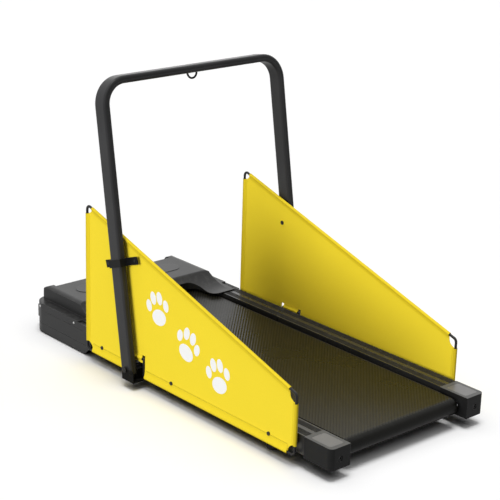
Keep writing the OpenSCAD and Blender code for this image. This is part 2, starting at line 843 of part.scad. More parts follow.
module drive_belt() {
    color([0.1, 0.1, 0.1])
    along_y(-pulley_y - drive_belt_w / 2, -pulley_y + drive_belt_w / 2) difference() {
        polygon(drive_loop(seat + drive_belt_t));
        polygon(drive_loop(seat));
    }
}

// Printed board on four posts, with a finned heat sink, a choke and two capacitors
module control_board() {
    x0 = (tray_x0 + tray_x1 - board_l) / 2;
    y0 = motor_y1 + motor_r;
    z0 = tray_z + tray_t + 2 * saddle_t;
    post_r = saddle_t;
    fin_n = 7;
    fin_pitch = board_l / fin_n;
    sink_y0 = y0 + board_w * 0.62;
    sink_y1 = y0 + board_w * 0.92;
    sink_z = z0 + board_t;
    color("darkgreen") {
        box([x0, y0, z0], [x0 + board_l, y0 + board_w, z0 + board_t]);
        for (x = [x0 + post_r, x0 + board_l - post_r], y = [y0 + post_r, y0 + board_w - post_r])
            translate([x, y, tray_z + tray_t]) cylinder(h = z0 - tray_z - tray_t, r = post_r);
    }
    color("silver") {
        box([x0, sink_y0, sink_z], [x0 + board_l, sink_y1, sink_z + sink_h / 4]);
        for (i = [0:fin_n - 1])
            box([x0 + (i + 0.3) * fin_pitch, sink_y0, sink_z],
                [x0 + (i + 0.6) * fin_pitch, sink_y1, sink_z + sink_h]);
    }
    color("black") for (i = [0, 1])
        translate([x0 + board_l * (0.3 + 0.4 * i), y0 + board_w * 0.2, sink_z])
            cylinder(h = sink_h * 0.7, r = board_l / 8);
    color("goldenrod") translate([x0 + board_l / 2, y0 + board_w * 0.46, sink_z])
        cylinder(h = sink_h * 0.35, r = board_l / 7);
}

// Plan of the lower housing, drawn in by an inset, open towards the rear
module shell_plan(inset, x1) {
    r = shell_round - inset;
    x0 = shell_x0 + inset;
    y = shell_y - inset;
    flat([x0 + r, -y], [x1, y]);
    flat([x0, r - y], [x1, y - r]);
    for (side = [-1, 1]) translate([x0 + r, side * (y - r)]) circle(r = r);
}

module lower_shell() {
    ledge_y = shell_y - ledge_w;
    color([0.24, 0.24, 0.24])
    difference() {
        union() {
            along_z(seam_z, shell_z1) difference() {
                shell_plan(0, shell_x1);
                shell_plan(shell_wall, shell_x1 + over);
            }
            along_z(shell_z1 - shell_wall, shell_z1) difference() {
                shell_plan(0, ledge_x1);
                flat([shell_x0 + ledge_w, -ledge_y], [ledge_x1 + over, ledge_y]);
            }
            along_z(shell_z1, flange_z1) difference() {
                shell_plan(0, ledge_x1);
                shell_plan(shell_wall, ledge_x1 + over);
            }
        }
        both_sides() {
            box([shell_x0 + shell_round, shell_y - line_w, line_z - line_w / 2],
                [shell_x1 + over, shell_y + over, line_z + line_w / 2]);
            housing_screw_places() rotate([-90, 0, 0])
                cylinder(h = shell_wall + 2 * over, r = housing_screw_r / 2 + fit);
        }
        along_x(shell_x0 - over, shell_x0 + shell_wall + over) translate([socket_y, socket_z])
            square([socket_w, socket_h] - 2 * [socket_t, socket_t], center = true);
    }
}

module housing_screw_places() {
    for (d = [housing_screw_a, housing_screw_b])
        translate([-half_l + d, shell_y - shell_wall - over, housing_screw_z]) children();
}

module housing_screws() {
    color("silver")
    both_sides() housing_screw_places() {
        rotate([-90, 0, 0]) cylinder(h = shell_wall + over, r = housing_screw_r / 2);
        translate([0, shell_wall + over + seat, 0]) rotate([-90, 0, 0])
            cylinder(h = housing_screw_r / 2, r1 = housing_screw_r, r2 = housing_screw_r / 2);
        translate([0, shell_wall + over, 0]) rotate([-90, 0, 0]) cylinder(h = seat, r = housing_screw_r);
    }
}

// Side profile of the pan, slanted under both ends, or drawn in by a wall and open at the rear
function pan_profile(t) = concat(
    [[shell_x0 + t, seam_z + over], [shell_x0 + t, pan_z + pan_slant_h]],
    [[shell_x0 + pan_slant_l, pan_z + t]],
    t > 0 ? [[shell_x1 + over, pan_z + t]] : [[shell_x1 - pan_cut, pan_z], [shell_x1, seam_z - seat]],
    [[shell_x1 + over, seam_z + over]]);

// Tray under the drive, open at the top, with wheel slots, foot holes and a shadow gap under the shell
module belly_pan() {
    wheel_x = -half_l + wheel_setback;
    wheel_z = wheel_r + wheel_lift;
    rib_z = seam_z - seat;
    slot_y = wheel_w / 2 + run;
    rib_x0 = wheel_x - wheel_pin_r * 2;
    floor_z = pan_z + shell_wall / 2;
    slant_rise = pan_slant_h * max(1 - (rib_x0 - shell_x0) / pan_slant_l, 0);
    color([0.22, 0.22, 0.22])
    difference() {
        union() {
            difference() {
                intersection() {
                    along_z(pan_z, seam_z - seat) shell_plan(0, shell_x1);
                    along_y(-shell_y, shell_y) polygon(pan_profile(0));
                }
                intersection() {
                    along_z(pan_z, seam_z + over) shell_plan(shell_wall, shell_x1 + over);
                    along_y(-shell_y, shell_y) polygon(pan_profile(shell_wall));
                }
            }
            both_sides() for (y = [wheel_y - slot_y - wheel_rib, wheel_y + slot_y])
                along_y(y, y + wheel_rib) polygon([
                    [rib_x0, floor_z + slant_rise], [shell_x0 + pan_slant_l, floor_z],
                    [wheel_x + wheel_pin_r * 3, floor_z], [wheel_x + wheel_pin_r * 2, rib_z],
                    [rib_x0, rib_z]]);
        }
        both_sides() {
            box([wheel_x - wheel_r - run, wheel_y - slot_y, pan_z - over],
                [wheel_x + wheel_r + run, wheel_y + slot_y, pan_z + pan_slant_h + shell_wall]);
            rod_y(wheel_x, wheel_z, wheel_y - wheel_w, wheel_y + wheel_w, wheel_pin_r + fit);
            translate([foot_x[0], foot_y, pan_z - over])
                cylinder(h = shell_wall + 2 * over, r = foot_r + soft_gap);
        }
        along_z(seam_z - seam_gap, seam_z + over) difference() {
            shell_plan(-over, shell_x1 + over);
            shell_plan(line_w, shell_x1 + 2 * over);
        }
    }
}

module wheel_pins() {
    color("silver")
    both_sides() rod_y(-half_l + wheel_setback, wheel_r + wheel_lift,
        wheel_y - wheel_w / 2 - run - wheel_rib, wheel_y + wheel_w / 2 + run + wheel_rib, wheel_pin_r);
}

module transport_wheel() {
    x = -half_l + wheel_setback;
    z = wheel_r + wheel_lift;
    rim = wheel_w / 6;
    dish = [[wheel_pin_r + fit, 0], [wheel_pin_r * 2, 0], [wheel_r * 0.6, rim], [wheel_r * 0.7, rim],
        [wheel_r * 0.75, 0], [wheel_r - rim, 0], [wheel_r, rim]];
    n = len(dish);
    back = [for (i = [1:n]) [dish[n - i][0], wheel_w - dish[n - i][1]]];
    color([0.12, 0.12, 0.12])
    translate([x, wheel_y - wheel_w / 2, z]) rotate([-90, 0, 0]) rotate_extrude()
        polygon(concat(dish, back));
}

module front_bumper() {
    y = shell_y - shell_round * bumper_end_share;
    r = bumper_r;
    x = shell_x0 - seat;
    color([0.15, 0.15, 0.15])
    along_z(seam_z + seat, seam_z + bumper_h) polygon(concat(
        [[x, -y], [x, y]], arc([-half_l + r, y - r], r, 90, 180), arc([-half_l + r, -y + r], r, 180, 270)));
}

// Side outline of the hood, drawn in by an inset: front wall, flat top, round ridge and dish
module hood_side(t) {
    z0 = flange_z0 - (t > 0 ? over : 0);
    front_r = hood_front_r - t;
    front_c = [top_x0 + hood_front_r, hood_top - hood_front_r];
    foot = [top_x0 - hood_slope + t, z0];
    lean = atan2(z0 - front_c[1], foot[0] - front_c[0]) - acos(front_r / norm(foot - front_c));
    meet = ridge_c + (ridge_r - t) * unit(dish_c - ridge_c);
    polygon([foot, front_c + front_r * [cos(lean), sin(lean)], front_c, [front_c[0], hood_top - t],
        [ridge_c[0], hood_top - t], ridge_c, meet, [meet[0], z0]]);
    translate(front_c) circle(r = front_r);
    translate(ridge_c) circle(r = ridge_r - t);
    difference() {
        flat([meet[0], z0], [dish_c[0], meet[1]]);
        translate(dish_c) circle(r = dish_r + t);
    }
    if (t == 0) flat([dish_c[0] - over, z0], [hood_x1, flange_z1]);
}

// Side outline of a front corner nose, drawn in by an inset
module nose_side(t) {
    c = [nose_x0 + nose_r, hood_top - nose_r];
    z0 = flange_z0 - (t > 0 ? over : 0);
    flat([nose_x0 + t, z0], [ridge_c[0], c[1]]);
    flat([c[0], z0], [ridge_c[0], hood_top - t]);
    translate(c) circle(r = nose_r - t);
}

// Cross section of the hood, drawn in by an inset, with leaning walls and rounded edges
module hood_section(t) {
    z0 = flange_z0 - 2 * over;
    z1 = crease_z - t;
    polygon([[t - hood_foot_y, z0], [t - hood_crease_y, z1], [hood_crease_y - t, z1], [hood_foot_y - t, z0]]);
    flat([-hood_flat_y, z1 - over], [hood_flat_y, hood_top - t]);
    for (side = [0, 1]) mirror([side, 0]) intersection() {
        flat([hood_flat_y - over, z1 - over], [hood_crease_y - t, hood_top]);
        translate([hood_flat_y, hood_top - hood_edge_r]) circle(r = hood_edge_r - t);
    }
}

// Plan of the hood, drawn in by an inset, with round front corners
module hood_plan(t) {
    p = [nose_x0 + t, t - hood_foot_y];
    q = [hood_x1 + over, hood_foot_y - t];
    r = nose_round - t;
    flat(p + [r, 0], q);
    flat(p + [0, r], q - [0, r]);
    for (y = [p[1] + r, q[1] - r]) translate([p[0] + r, y]) circle(r = r);
}

module hood_body(t) {
    intersection() {
        union() {
            along_y(-hood_foot_y, hood_foot_y) hood_side(t);
            both_sides() along_y(nose_y + t, hood_foot_y) nose_side(t);
        }
        along_x(nose_x0, hood_x1 + over) hood_section(t);
        along_z(flange_z0 - over, hood_top + over) hood_plan(t);
    }
}

// Opening over the belt between the hood's wings, grown by a wall
module wing_gap(t) {
    y = wing_y + t;
    r = wing_round + t;
    x0 = lip_x - t;
    x1 = hood_x1 + over;
    along_z(flange_z0 - over, hood_top + over) {
        flat([x0 + r, -y], [x1, y]);
        flat([x0, r - y], [x1, y - r]);
        for (side = [-1, 1]) translate([x0 + r, side * (y - r)]) circle(r = r);
        for (side = [0, 1]) mirror([0, side]) difference() {
            flat([hood_x1 - tail_round, y - over], [x1, y + tail_round]);
            translate([hood_x1 - tail_round, y + tail_round]) circle(r = tail_round);
        }
    }
}

module hood_cover() {
    inner_y = hood_foot_y - 2 * hood_wall;
    color([0.26, 0.26, 0.26])
    difference() {
        union() {
            hood_body(0);
            along_z(flange_z0, flange_z1) difference() {
                union() {
                    shell_plan(flange_inset, ledge_x1);
                    flat([lip_x, -wing_out_y], [hood_x1, wing_out_y]);
                }
                flat([top_x0, -inner_y], [lip_x - 2 * hood_wall, inner_y]);
            }
        }
        difference() {
            hood_body(hood_wall);
            wing_gap(hood_wall);
        }
        wing_gap(0);
    }
}

module oval_panel() {
    r = oval_w / 2;
    y = oval_l / 2 - r;
    color([0.14, 0.14, 0.15])
    along_z(hood_top, hood_top + oval_t) translate([-half_l + oval_x, 0]) {
        flat([-r, -y], [r, y]);
        for (side = [-1, 1]) translate([0, side * y]) circle(r = r);
    }
}

socket_z = (seam_z + bumper_h + shell_z1 - shell_wall) / 2 + socket_t / 2;
rocker_w = socket_w / 4;
rocker_h = socket_h * 0.6;
rocker_y = socket_y + socket_w * 0.16;
breaker_r = socket_h * 0.2;
breaker_y = socket_y + socket_w * 0.38;

// Power inlet with three pins, the well of the rocker switch and the bore of the reset button
module power_socket() {
    face_x = shell_x0 - socket_t - seat;
    back_x = shell_x0 + socket_d;
    in_y = socket_y - socket_w * 0.22;
    color([0.08, 0.08, 0.08]) {
        difference() {
            union() {
                along_x(face_x, face_x + socket_t) translate([socket_y, socket_z])
                    polygon(round_box(-[socket_w, socket_h] / 2, [socket_w, socket_h] / 2, socket_t));
                along_x(face_x + socket_t, back_x) translate([socket_y, socket_z])
                    square([socket_w, socket_h] - 2 * (socket_t + seat) * [1, 1], center = true);
            }
            box([face_x - over, in_y - socket_w * 0.17, socket_z - socket_h * 0.28],
                [back_x - socket_t, in_y + socket_w * 0.17, socket_z + socket_h * 0.28]);
            box([face_x - over, rocker_y - rocker_w / 2 - run, socket_z - rocker_h / 2 - run],
                [back_x - socket_t, rocker_y + rocker_w / 2 + run, socket_z + rocker_h / 2 + run]);
            rod_x(breaker_y, socket_z, face_x - over, back_x - socket_t, breaker_r + fit);
        }
        for (i = [-1:1])
            box([face_x + 2 * socket_t, in_y + (i * 2 - 0.5) * socket_t * 1.5, socket_z - socket_h * 0.1],
                [back_x - socket_t, in_y + (i * 2 + 0.5) * socket_t * 1.5, socket_z + socket_h * 0.1]);
    }
}

// Rocker with its pivot pins' axis along Y, just behind the socket's face
module power_rocker() {
    x = shell_x0 + socket_t;
    r = rocker_h / 2;
    color([0.5, 0.06, 0.05])
    along_y(rocker_y - rocker_w / 2, rocker_y + rocker_w / 2) intersection() {
        translate([x, socket_z]) circle(r = r);
        translate([x - r, socket_z - r]) square([r * 1.6, 2 * r]);
    }
}

module breaker_button() {
    color([0.1, 0.1, 0.1])
        rod_x(breaker_y, socket_z, shell_x0 - 2 * socket_t - breaker_travel, shell_x0 + socket_d / 2,
            breaker_r);
}

// Section of the arch tube: X is the tube's width, Y its thickness, with a groove in the rear face
module tube_section(inset) {
    p = [-tube_w / 2 + inset, inset];
    q = [tube_w / 2 - inset, tube_t - inset];
    difference() {
        polygon(round_box(p, q, max(tube_r - inset, tube_wall)));
        if (inset == 0) translate([tube_w / 2 - tube_groove_d, tube_t / 2 - tube_groove / 2])
            square([tube_groove_d + over, tube_groove]);
    }
}

// Half of the arch, upright with its pivot at the origin: upright tube, bend and half of the top bar
module arch_half(inset) {
    bend_z = arch_up - tube_t - bend_r;
    bend_y = tube_y0 - bend_r;
    translate([0, tube_y0, -tube_tail]) linear_extrude(height = bend_z + tube_tail) tube_section(inset);
    translate([0, bend_y, bend_z]) rotate([90, 0, 90]) rotate_extrude(angle = 90)
        translate([bend_r, 0]) mirror([1, -1]) tube_section(inset);
    translate([0, 0, bend_z + bend_r]) rotate([-90, 0, 0]) linear_extrude(height = bend_y)
        mirror([0, 1]) tube_section(inset);
}

// Puts a piece that is drawn upright about the pivot into its leaning place
module leaning() {
    translate([pivot_x, 0, pivot_z]) rotate([0, -arch_lean, 0]) children();
}

module arch_tube() {
    color([0.27, 0.27, 0.27])
    leaning() difference() {
        both_sides() arch_half(0);
        both_sides() {
            arch_half(tube_wall);
            translate([0, tube_y0, -tube_tail - over]) linear_extrude(height = 2 * over)
                tube_section(tube_wall);
            rod_y(0, 0, tube_y0 - over, tube_y1 + over, pivot_r + fit);
        }
    }
}

module tube_plugs() {
    color("black")
    leaning() both_sides() translate([0, tube_y0, 0]) {
        translate([0, 0, -tube_tail - shoe_t + seat]) linear_extrude(height = shoe_t - 2 * seat)
            polygon(round_box([-tube_w / 2 + seat, seat], [tube_w / 2 - seat, tube_t - seat], tube_r));
        translate([0, 0, -tube_tail - seat]) linear_extrude(height = tube_tail - pivot_r - run)
            polygon(round_box([-tube_w / 2 + tube_wall + seat, tube_wall + seat],
                [tube_w / 2 - tube_wall - seat, tube_t - tube_wall - seat],
                max(tube_r - tube_wall, tube_wall) - seat));
    }
}

// Half ring under the top bar
module leash_ring() {
    color("silver")
    leaning() translate([0, 0, arch_up - tube_t - seat]) rotate([0, 0, 90]) rotate([-90, 0, 0])
        rotate_extrude(angle = 180) translate([ring_r, 0]) circle(r = ring_rod_r);
}

// Channel bolted to the rail that carries the arch's pivot: spacer, outer plate and floor
module arch_shoe() {
    y0 = rail_y1 + seat;
    y1 = tube_y1 + run + shoe_t;
    block_share = 0.7;
    color([0.25, 0.25, 0.25])
    difference() {
        union() {
            box([shoe_x0, y0, shoe_z0], [shoe_x0 + shoe_l * block_share, tube_y0 - run, shoe_z1]);
            box([shoe_x0, y0, shoe_z0], [shoe_x0 + shoe_l, y1, shoe_z0 + shoe_t]);
            along_y(y1 - shoe_t, y1)
                polygon(round_box([shoe_x0, shoe_z0], [shoe_x0 + shoe_l, shoe_z1], shoe_t));
            rod_y(shoe_x0 + shoe_l * 0.78, pivot_z - shoe_t, y1, y1 + shoe_t / 2, bolt_head_r * 0.8);
        }
        rod_y(pivot_x, pivot_z, y0 - over, y1 + shoe_t, pivot_r);
    }
}

module pivot_bolts() {
    y1 = tube_y1 + run + shoe_t;
    color("silver")
    both_sides() {
        rod_y(pivot_x, pivot_z, rail_y1 + seat, y1, pivot_r);
        rod_y(pivot_x, pivot_z, y1, y1 + bolt_head_h, bolt_head_r);
    }
}

// Puts a piece that is drawn level about the clamp's middle into its place on the leaning tube
module at_clamp() {
    translate([stud_x, 0, stud_z]) rotate([0, -clamp_tilt, 0]) children();
}

// Hat-shaped strap over the tube with a flange on each side
module clamp_straps() {
    w = clamp_w / 2;
    h = web_half + clamp_t;
    color([0.22, 0.22, 0.22])
    both_sides() at_clamp() {
        box([-h, web_y0, -w], [h, web_y0 + clamp_t, w]);
        for (rear = [0, 1]) mirror([rear, 0, 0]) {
            box([web_half, flange_y0, -w], [h, web_y0 + clamp_t, w]);
            difference() {
                box([web_half, flange_y0, -w], [clamp_reach, flange_y0 + clamp_t, w]);
                rod_y(clamp_reach - w, 0, flange_y0 - over, flange_y0 + clamp_t + over, clamp_t);
            }
        }
    }
}

module clamp_screws() {
    color("silver")
    both_sides() at_clamp() for (rear = [0, 1]) mirror([rear, 0, 0]) {
        rod_y(clamp_reach - clamp_w / 2, 0, flange_y0, flange_y0 + clamp_t, clamp_t - fit);
        rod_y(clamp_reach - clamp_w / 2, 0, flange_y0 + clamp_t, flange_y0 + 2 * clamp_t, 2 * clamp_t);
    }
}

// Corners of the panel's rod, in X and Z, with the bridge over the arch shoe
rod_points = [
    [panel_x0, panel_front_h - rod_r], [panel_x1, panel_rear_h - rod_r], [panel_x1, panel_z],
    [bridge_x1, panel_z], [bridge_x1, bridge_z], [bridge_x0, bridge_z], [bridge_x0, panel_z],
    [panel_x0, panel_z]];

rod_bends = [rod_bend, rod_bend, rod_bend, bridge_bend, bridge_bend, bridge_bend, bridge_bend, rod_bend];
rod_n = len(rod_points);

function unit(v) = v / norm(v);
// Direction in which the rod leaves a corner, and the signed angle by which it turns there
function rod_way(i) = unit(rod_points[(i + 1) % rod_n] - rod_points[i % rod_n]);
function rod_turn(i) = let (u = rod_way(i + rod_n - 1), v = rod_way(i))
    atan2(u[0] * v[1] - u[1] * v[0], u * v);
// Length that a corner's bend takes off the straight runs beside it
function rod_take(i) = rod_bends[i % rod_n] * tan(abs(rod_turn(i)) / 2);

// Straight round bar from one place in X and Z to another in the panel's middle plane
module panel_run(p, q, r) {
    d = q - p;
    translate([p[0], panel_y, p[1]]) rotate([0, atan2(d[0], d[1]), 0]) cylinder(h = norm(d), r = r);
}

// Sleeve round a straight run, drawn in at both ends
module sleeve_run(p, q, inset) {
    panel_run(p + inset * unit(q - p), q - inset * unit(q - p), sleeve_r);
}

// Closed rod of straight runs that end inside slightly thicker round bends
module panel_frame() {
    color([0.12, 0.12, 0.12])
    for (i = [0:rod_n - 1]) {
        p = rod_points[i];
        side = sign(rod_turn(i));
        way = rod_way(i);
        s = p + rod_take(i) * way;
        panel_run(s - seat * way, rod_points[(i + 1) % rod_n] - (rod_take(i + 1) - seat) * way, rod_r);
        c = s + side * rod_bends[i] * [-way[1], way[0]];
        a = atan2(s[1] - c[1], s[0] - c[0]);
        translate([c[0], panel_y, c[1]]) rotate([90, 0, 0]) rotate([0, 0, side > 0 ? a - rod_turn(i) : a])
            rotate_extrude(angle = abs(rod_turn(i))) translate([rod_bends[i], 0]) circle(r = rod_r + fit);
    }
}

panel_screw_x = [for (s = panel_screw_shares) panel_x0 + s * (panel_x1 - panel_x0)];

// Cloth stretched on the rod: a flat web with a sleeve on each edge, cut away at the corners and the shoe
module panel_cloth() {
    corners = [rod_points[0], rod_points[1], rod_points[2], rod_points[7]];
    runs = [for (i = [0:3]) [corners[i], corners[(i + 1) % 4]]];
    bridge = [rod_points[4], rod_points[5]];
    y0 = panel_y - 2 * sleeve_r;
    y1 = panel_y + 2 * sleeve_r;
    z0 = panel_z - 2 * sleeve_r;
    color([0.96, 0.85, 0.2])
    difference() {
        union() {
            along_y(panel_y - cloth_t / 2, panel_y + cloth_t / 2) polygon(corners);
            for (e = runs) sleeve_run(e[0], e[1], corner_cut * 0.8);
            panel_run(bridge[0], bridge[1], sleeve_r);
        }
        for (e = runs) panel_run(e[0], e[1], rod_r + soft_gap);
        panel_run(bridge[0], bridge[1], rod_r + soft_gap);
        for (c = corners) rod_y(c[0], c[1], y0, y1, corner_cut);
        box([notch_x0, y0, z0], [notch_x1, y1, notch_z1]);
        for (x = [notch_x0, notch_x1 - slot_w]) box([x, y0, z0], [x + slot_w, y1, slot_z1]);
        for (x = panel_screw_x) rod_y(x, panel_screw_z, y0, y1, panel_shank_r + soft_gap);
        rod_y(stud_x, stud_z, y0, y1, panel_shank_r + soft_gap);
    }
}

module panel_spacers() {
    color([0.1, 0.1, 0.1])
    both_sides() for (x = panel_screw_x) difference() {
        rod_y(x, panel_screw_z, rail_y1, panel_y - cloth_t / 2 - soft_gap, spacer_r);
        rod_y(x, panel_screw_z, rail_y1 + rail_wall, panel_y, panel_shank_r);
    }
}

module panel_screws() {
    head_y = panel_y + cloth_t / 2 + soft_gap;
    color([0.15, 0.15, 0.15])
    both_sides() for (x = panel_screw_x) {
        rod_y(x, panel_screw_z, rail_y1 + rail_wall + seat, head_y, panel_shank_r);
        rod_y(x, panel_screw_z, head_y, head_y + panel_screw_h, panel_screw_r);
    }
}

// Rivet through the cloth behind the arch tube, with a button on the inner face
module panel_studs() {
    in_y = panel_y - cloth_t / 2 - soft_gap;
    out_y = panel_y + cloth_t / 2 + soft_gap;
    color([0.15, 0.15, 0.15])
    both_sides() {
        rod_y(stud_x, stud_z, in_y - stud_h, in_y, stud_r);
        rod_y(stud_x, stud_z, in_y, out_y, panel_shank_r);
        rod_y(stud_x, stud_z, out_y, flange_y0 - run, stud_r);
    }
}

on_side(false) side_beam();  // side_beam_left
on_side(true) side_beam();  // side_beam_right
cross_tube(cross_x[0]);  // front_cross_tube
cross_tube(cross_x[1]);  // middle_cross_tube
cross_tube(cross_x[2]);  // rear_cross_tube
on_side(false) foot_rail();  // foot_rail_left
on_side(true) foot_rail();  // foot_rail_right
on_side(false) grip_strips();  // grip_strips_left
on_side(true) grip_strips();  // grip_strips_right
deck_board();
deck_cushions();
walking_belt();
roller(drive_x);  // drive_roller
drive_axle();
bearings(drive_x);  // drive_bearings
roller_pulley();
roller(rear_x);  // rear_roller
rear_axle();
bearings(rear_x);  // rear_bearings
on_side(false) tension_bolt();  // tension_bolt_left
on_side(true) tension_bolt();  // tension_bolt_right
on_side(false) end_cap();  // end_cap_left
on_side(true) end_cap();  // end_cap_right
cap_plates();
machine_feet();
motor_tray();
drive_motor();
motor_shaft();
flywheel();
motor_pulley();
drive_belt();
control_board();
hood_cover();
lower_shell();
belly_pan();
front_bumper();
housing_screws();
oval_panel();
power_socket();
power_rocker();
breaker_button();
wheel_pins();
on_side(false) transport_wheel();  // transport_wheel_left
on_side(true) transport_wheel();  // transport_wheel_right
arch_tube();
tube_plugs();
leash_ring();
on_side(false) arch_shoe();  // arch_shoe_left
on_side(true) arch_shoe();  // arch_shoe_right
pivot_bolts();
clamp_straps();
clamp_screws();
on_side(false) panel_frame();  // panel_frame_left
on_side(true) panel_frame();  // panel_frame_right
on_side(false) panel_cloth();  // panel_cloth_left
on_side(true) panel_cloth();  // panel_cloth_right
panel_spacers();
panel_screws();
panel_studs();
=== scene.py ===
"""Looks of the dog treadmill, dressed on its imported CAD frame.

Everything is in metres in the CAD frame: X runs from the motor hood to the entry end, Y across the
belt from the left side to the right, Z up from the floor.
"""
import json
import logging
import math
from dataclasses import dataclass
from enum import Enum
from typing import Callable, ClassVar, Sequence

import bmesh
import bpy
from mathutils import Matrix, Vector

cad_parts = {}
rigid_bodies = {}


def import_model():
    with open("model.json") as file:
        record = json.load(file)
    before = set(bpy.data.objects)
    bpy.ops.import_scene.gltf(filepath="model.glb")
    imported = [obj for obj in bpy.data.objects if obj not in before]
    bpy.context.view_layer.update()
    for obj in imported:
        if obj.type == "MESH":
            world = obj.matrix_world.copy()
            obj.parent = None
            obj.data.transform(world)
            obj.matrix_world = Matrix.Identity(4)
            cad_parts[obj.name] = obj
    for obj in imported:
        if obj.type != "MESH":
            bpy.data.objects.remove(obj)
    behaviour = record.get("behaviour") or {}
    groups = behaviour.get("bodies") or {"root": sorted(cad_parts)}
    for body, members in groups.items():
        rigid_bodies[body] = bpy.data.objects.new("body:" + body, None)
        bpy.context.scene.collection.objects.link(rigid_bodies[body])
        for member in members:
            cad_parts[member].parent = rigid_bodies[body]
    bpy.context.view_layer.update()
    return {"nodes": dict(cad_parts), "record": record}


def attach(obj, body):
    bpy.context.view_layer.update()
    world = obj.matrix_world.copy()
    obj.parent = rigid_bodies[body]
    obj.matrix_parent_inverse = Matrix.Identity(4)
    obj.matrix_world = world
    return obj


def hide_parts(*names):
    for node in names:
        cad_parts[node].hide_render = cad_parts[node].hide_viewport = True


LOG = logging.getLogger("treadmill")
SHARP_ANGLE = math.radians(38)
Colour = tuple[float, float, float]
Point = tuple[float, float]
Value = float | Sequence[float] | bpy.types.NodeSocket


class Side(Enum):
    """Sides of the machine, as signs of Y."""

    LEFT = -1
    RIGHT = 1

    @property
    def word(self) -> str:
        """The side's name as the nodes spell it."""
        return self.name.lower()


class Wiring:
    """Adds nodes to one shader tree and links them."""

    def __init__(self, tree: bpy.types.NodeTree) -> None:
        """Keeps the tree.

        Args:
            tree: The node tree to fill.
        """
        self.tree = tree

    def node(self, kind: str, inputs: dict[str | int, Value] | None = None, **settings: object) -> bpy.types.Node:
        """Adds a node.

        Args:
            kind: The node's type name.
            inputs: Values or sockets for its inputs.
            **settings: Attributes set on the node.

        Returns:
            The new node.
        """
        node = self.tree.nodes.new(kind)
        for name, value in settings.items():
            setattr(node, name, value)
        for key, value in (inputs or {}).items():
            self.put(node.inputs[key], value)
        return node

    def put(self, socket: bpy.types.NodeSocket, value: Value) -> None:
        """Links a socket to an input, or sets the input's value.

        Args:
            socket: The input.
            value: A socket, a number or a tuple.
        """
        if isinstance(value, bpy.types.NodeSocket):
            self.tree.links.new(value, socket)
        else:
            socket.default_value = value

    def math(self, operation: str, *values: Value, clamp: bool = False) -> bpy.types.NodeSocket:
        """Adds a Math node.

        Args:
            operation: The operation's name.
            *values: Its operands.
            clamp: Whether the result is held between 0 and 1.

        Returns:
            The result's socket.
        """
        return self.node("ShaderNodeMath", dict(enumerate(values)), operation=operation, use_clamp=clamp).outputs[0]

    def ramp(self, value: Value, low: float, high: float, to_low: float = 0.0, to_high: float = 1.0,
             ) -> bpy.types.NodeSocket:
        """Maps a value smoothly from one range to another.

        Args:
            value: The value.
            low: Start of the range.
            high: End of the range.
            to_low: Result at the start.
            to_high: Result at the end.

        Returns:
            The result's socket.
        """
        inputs = dict(enumerate((value, low, high, to_low, to_high)))
        return self.node("ShaderNodeMapRange", inputs, interpolation_type="SMOOTHSTEP").outputs[0]

    def blend(self, factor: Value, first: Value, second: Value, mode: str = "MIX") -> bpy.types.NodeSocket:
        """Mixes two colours.

        Args:
            factor: Share of the second colour.
            first: First colour.
            second: Second colour.
            mode: Blend mode.

        Returns:
            The mixed colour's socket.
        """
        node = self.node("ShaderNodeMix", data_type="RGBA", blend_type=mode)
        self.put(node.inputs["Factor"], factor)
        for key, value in ((6, first), (7, second)):
            whole = (*value, 1.0) if isinstance(value, tuple) and len(value) == 3 else value
            self.put(node.inputs[key], whole)
        return node.outputs[2]

    def place(self) -> bpy.types.NodeSocket:
        """Returns the surface point in the frame, in metres."""
        return self.node("ShaderNodeTexCoord").outputs["Object"]

    def upward(self) -> bpy.types.NodeSocket:
        """Returns how far the face looks up, from -1 to 1."""
        normal = self.node("ShaderNodeNewGeometry").outputs["Normal"]
        return self.node("ShaderNodeSeparateXYZ", {0: normal}).outputs["Z"]

    def noise(self, vector: Value, scale: Value, detail: float = 2.0) -> bpy.types.NodeSocket:
        """Returns a noise value at a point.

        Args:
            vector: The point.
            scale: Number of features in a metre.
            detail: Octaves of the noise.
        """
        return self.node("ShaderNodeTexNoise", {"Vector": vector, "Scale": scale, "Detail": detail}).outputs[0]


@dataclass(frozen=True)
class Effect:
    """A shader node group that several finishes share, built once."""

    name: str
    inputs: tuple[tuple[str, float], ...]
    outputs: tuple[str, ...]
    fill: Callable[[Wiring, dict[str, bpy.types.NodeSocket]], dict[str, bpy.types.NodeSocket]]

    def tree(self) -> bpy.types.NodeTree:
        """Returns the group, made on first use."""
        found = bpy.data.node_groups.get(self.name)
        if found:
            return found
        tree = bpy.data.node_groups.new(self.name, "ShaderNodeTree")
        for name, value in self.inputs:
            socket = tree.interface.new_socket(name=name, in_out="INPUT", socket_type="NodeSocketFloat")
            socket.default_value = value
        for name in self.outputs:
            tree.interface.new_socket(name=name, in_out="OUTPUT", socket_type="NodeSocketFloat")
        wiring = Wiring(tree)
        given = wiring.node("NodeGroupInput").outputs
        results = self.fill(wiring, {name: given[name] for name, _ in self.inputs})
        wiring.node("NodeGroupOutput", results)
        return tree

    def use(self, wiring: Wiring, **values: float) -> bpy.types.NodeOutputs:
        """Places the group in a tree.

        Args:
            wiring: The tree's wiring.
            **values: Values for its inputs, with underscores for spaces.

        Returns:
            The group node's outputs.
        """
        node = wiring.node("ShaderNodeGroup", node_tree=self.tree())
        for name, value in values.items():
            wiring.put(node.inputs[name.replace("_", " ")], value)
        return node.outputs


def fill_grain(wiring: Wiring, given: dict[str, bpy.types.NodeSocket]) -> dict[str, bpy.types.NodeSocket]:
    """Fine moulded grain with slow patches of tone.

    Args:
        wiring: The group's wiring.
        given: The group's inputs.

    Returns:
        The group's results by name.
    """
    place = wiring.place()
    fine = wiring.noise(place, given["Grain Scale"], 3.0)
    slow = wiring.noise(place, given["Patch Scale"], 2.0)
    return {"Height": fine, "Patch": wiring.ramp(slow, 0.3, 0.7)}


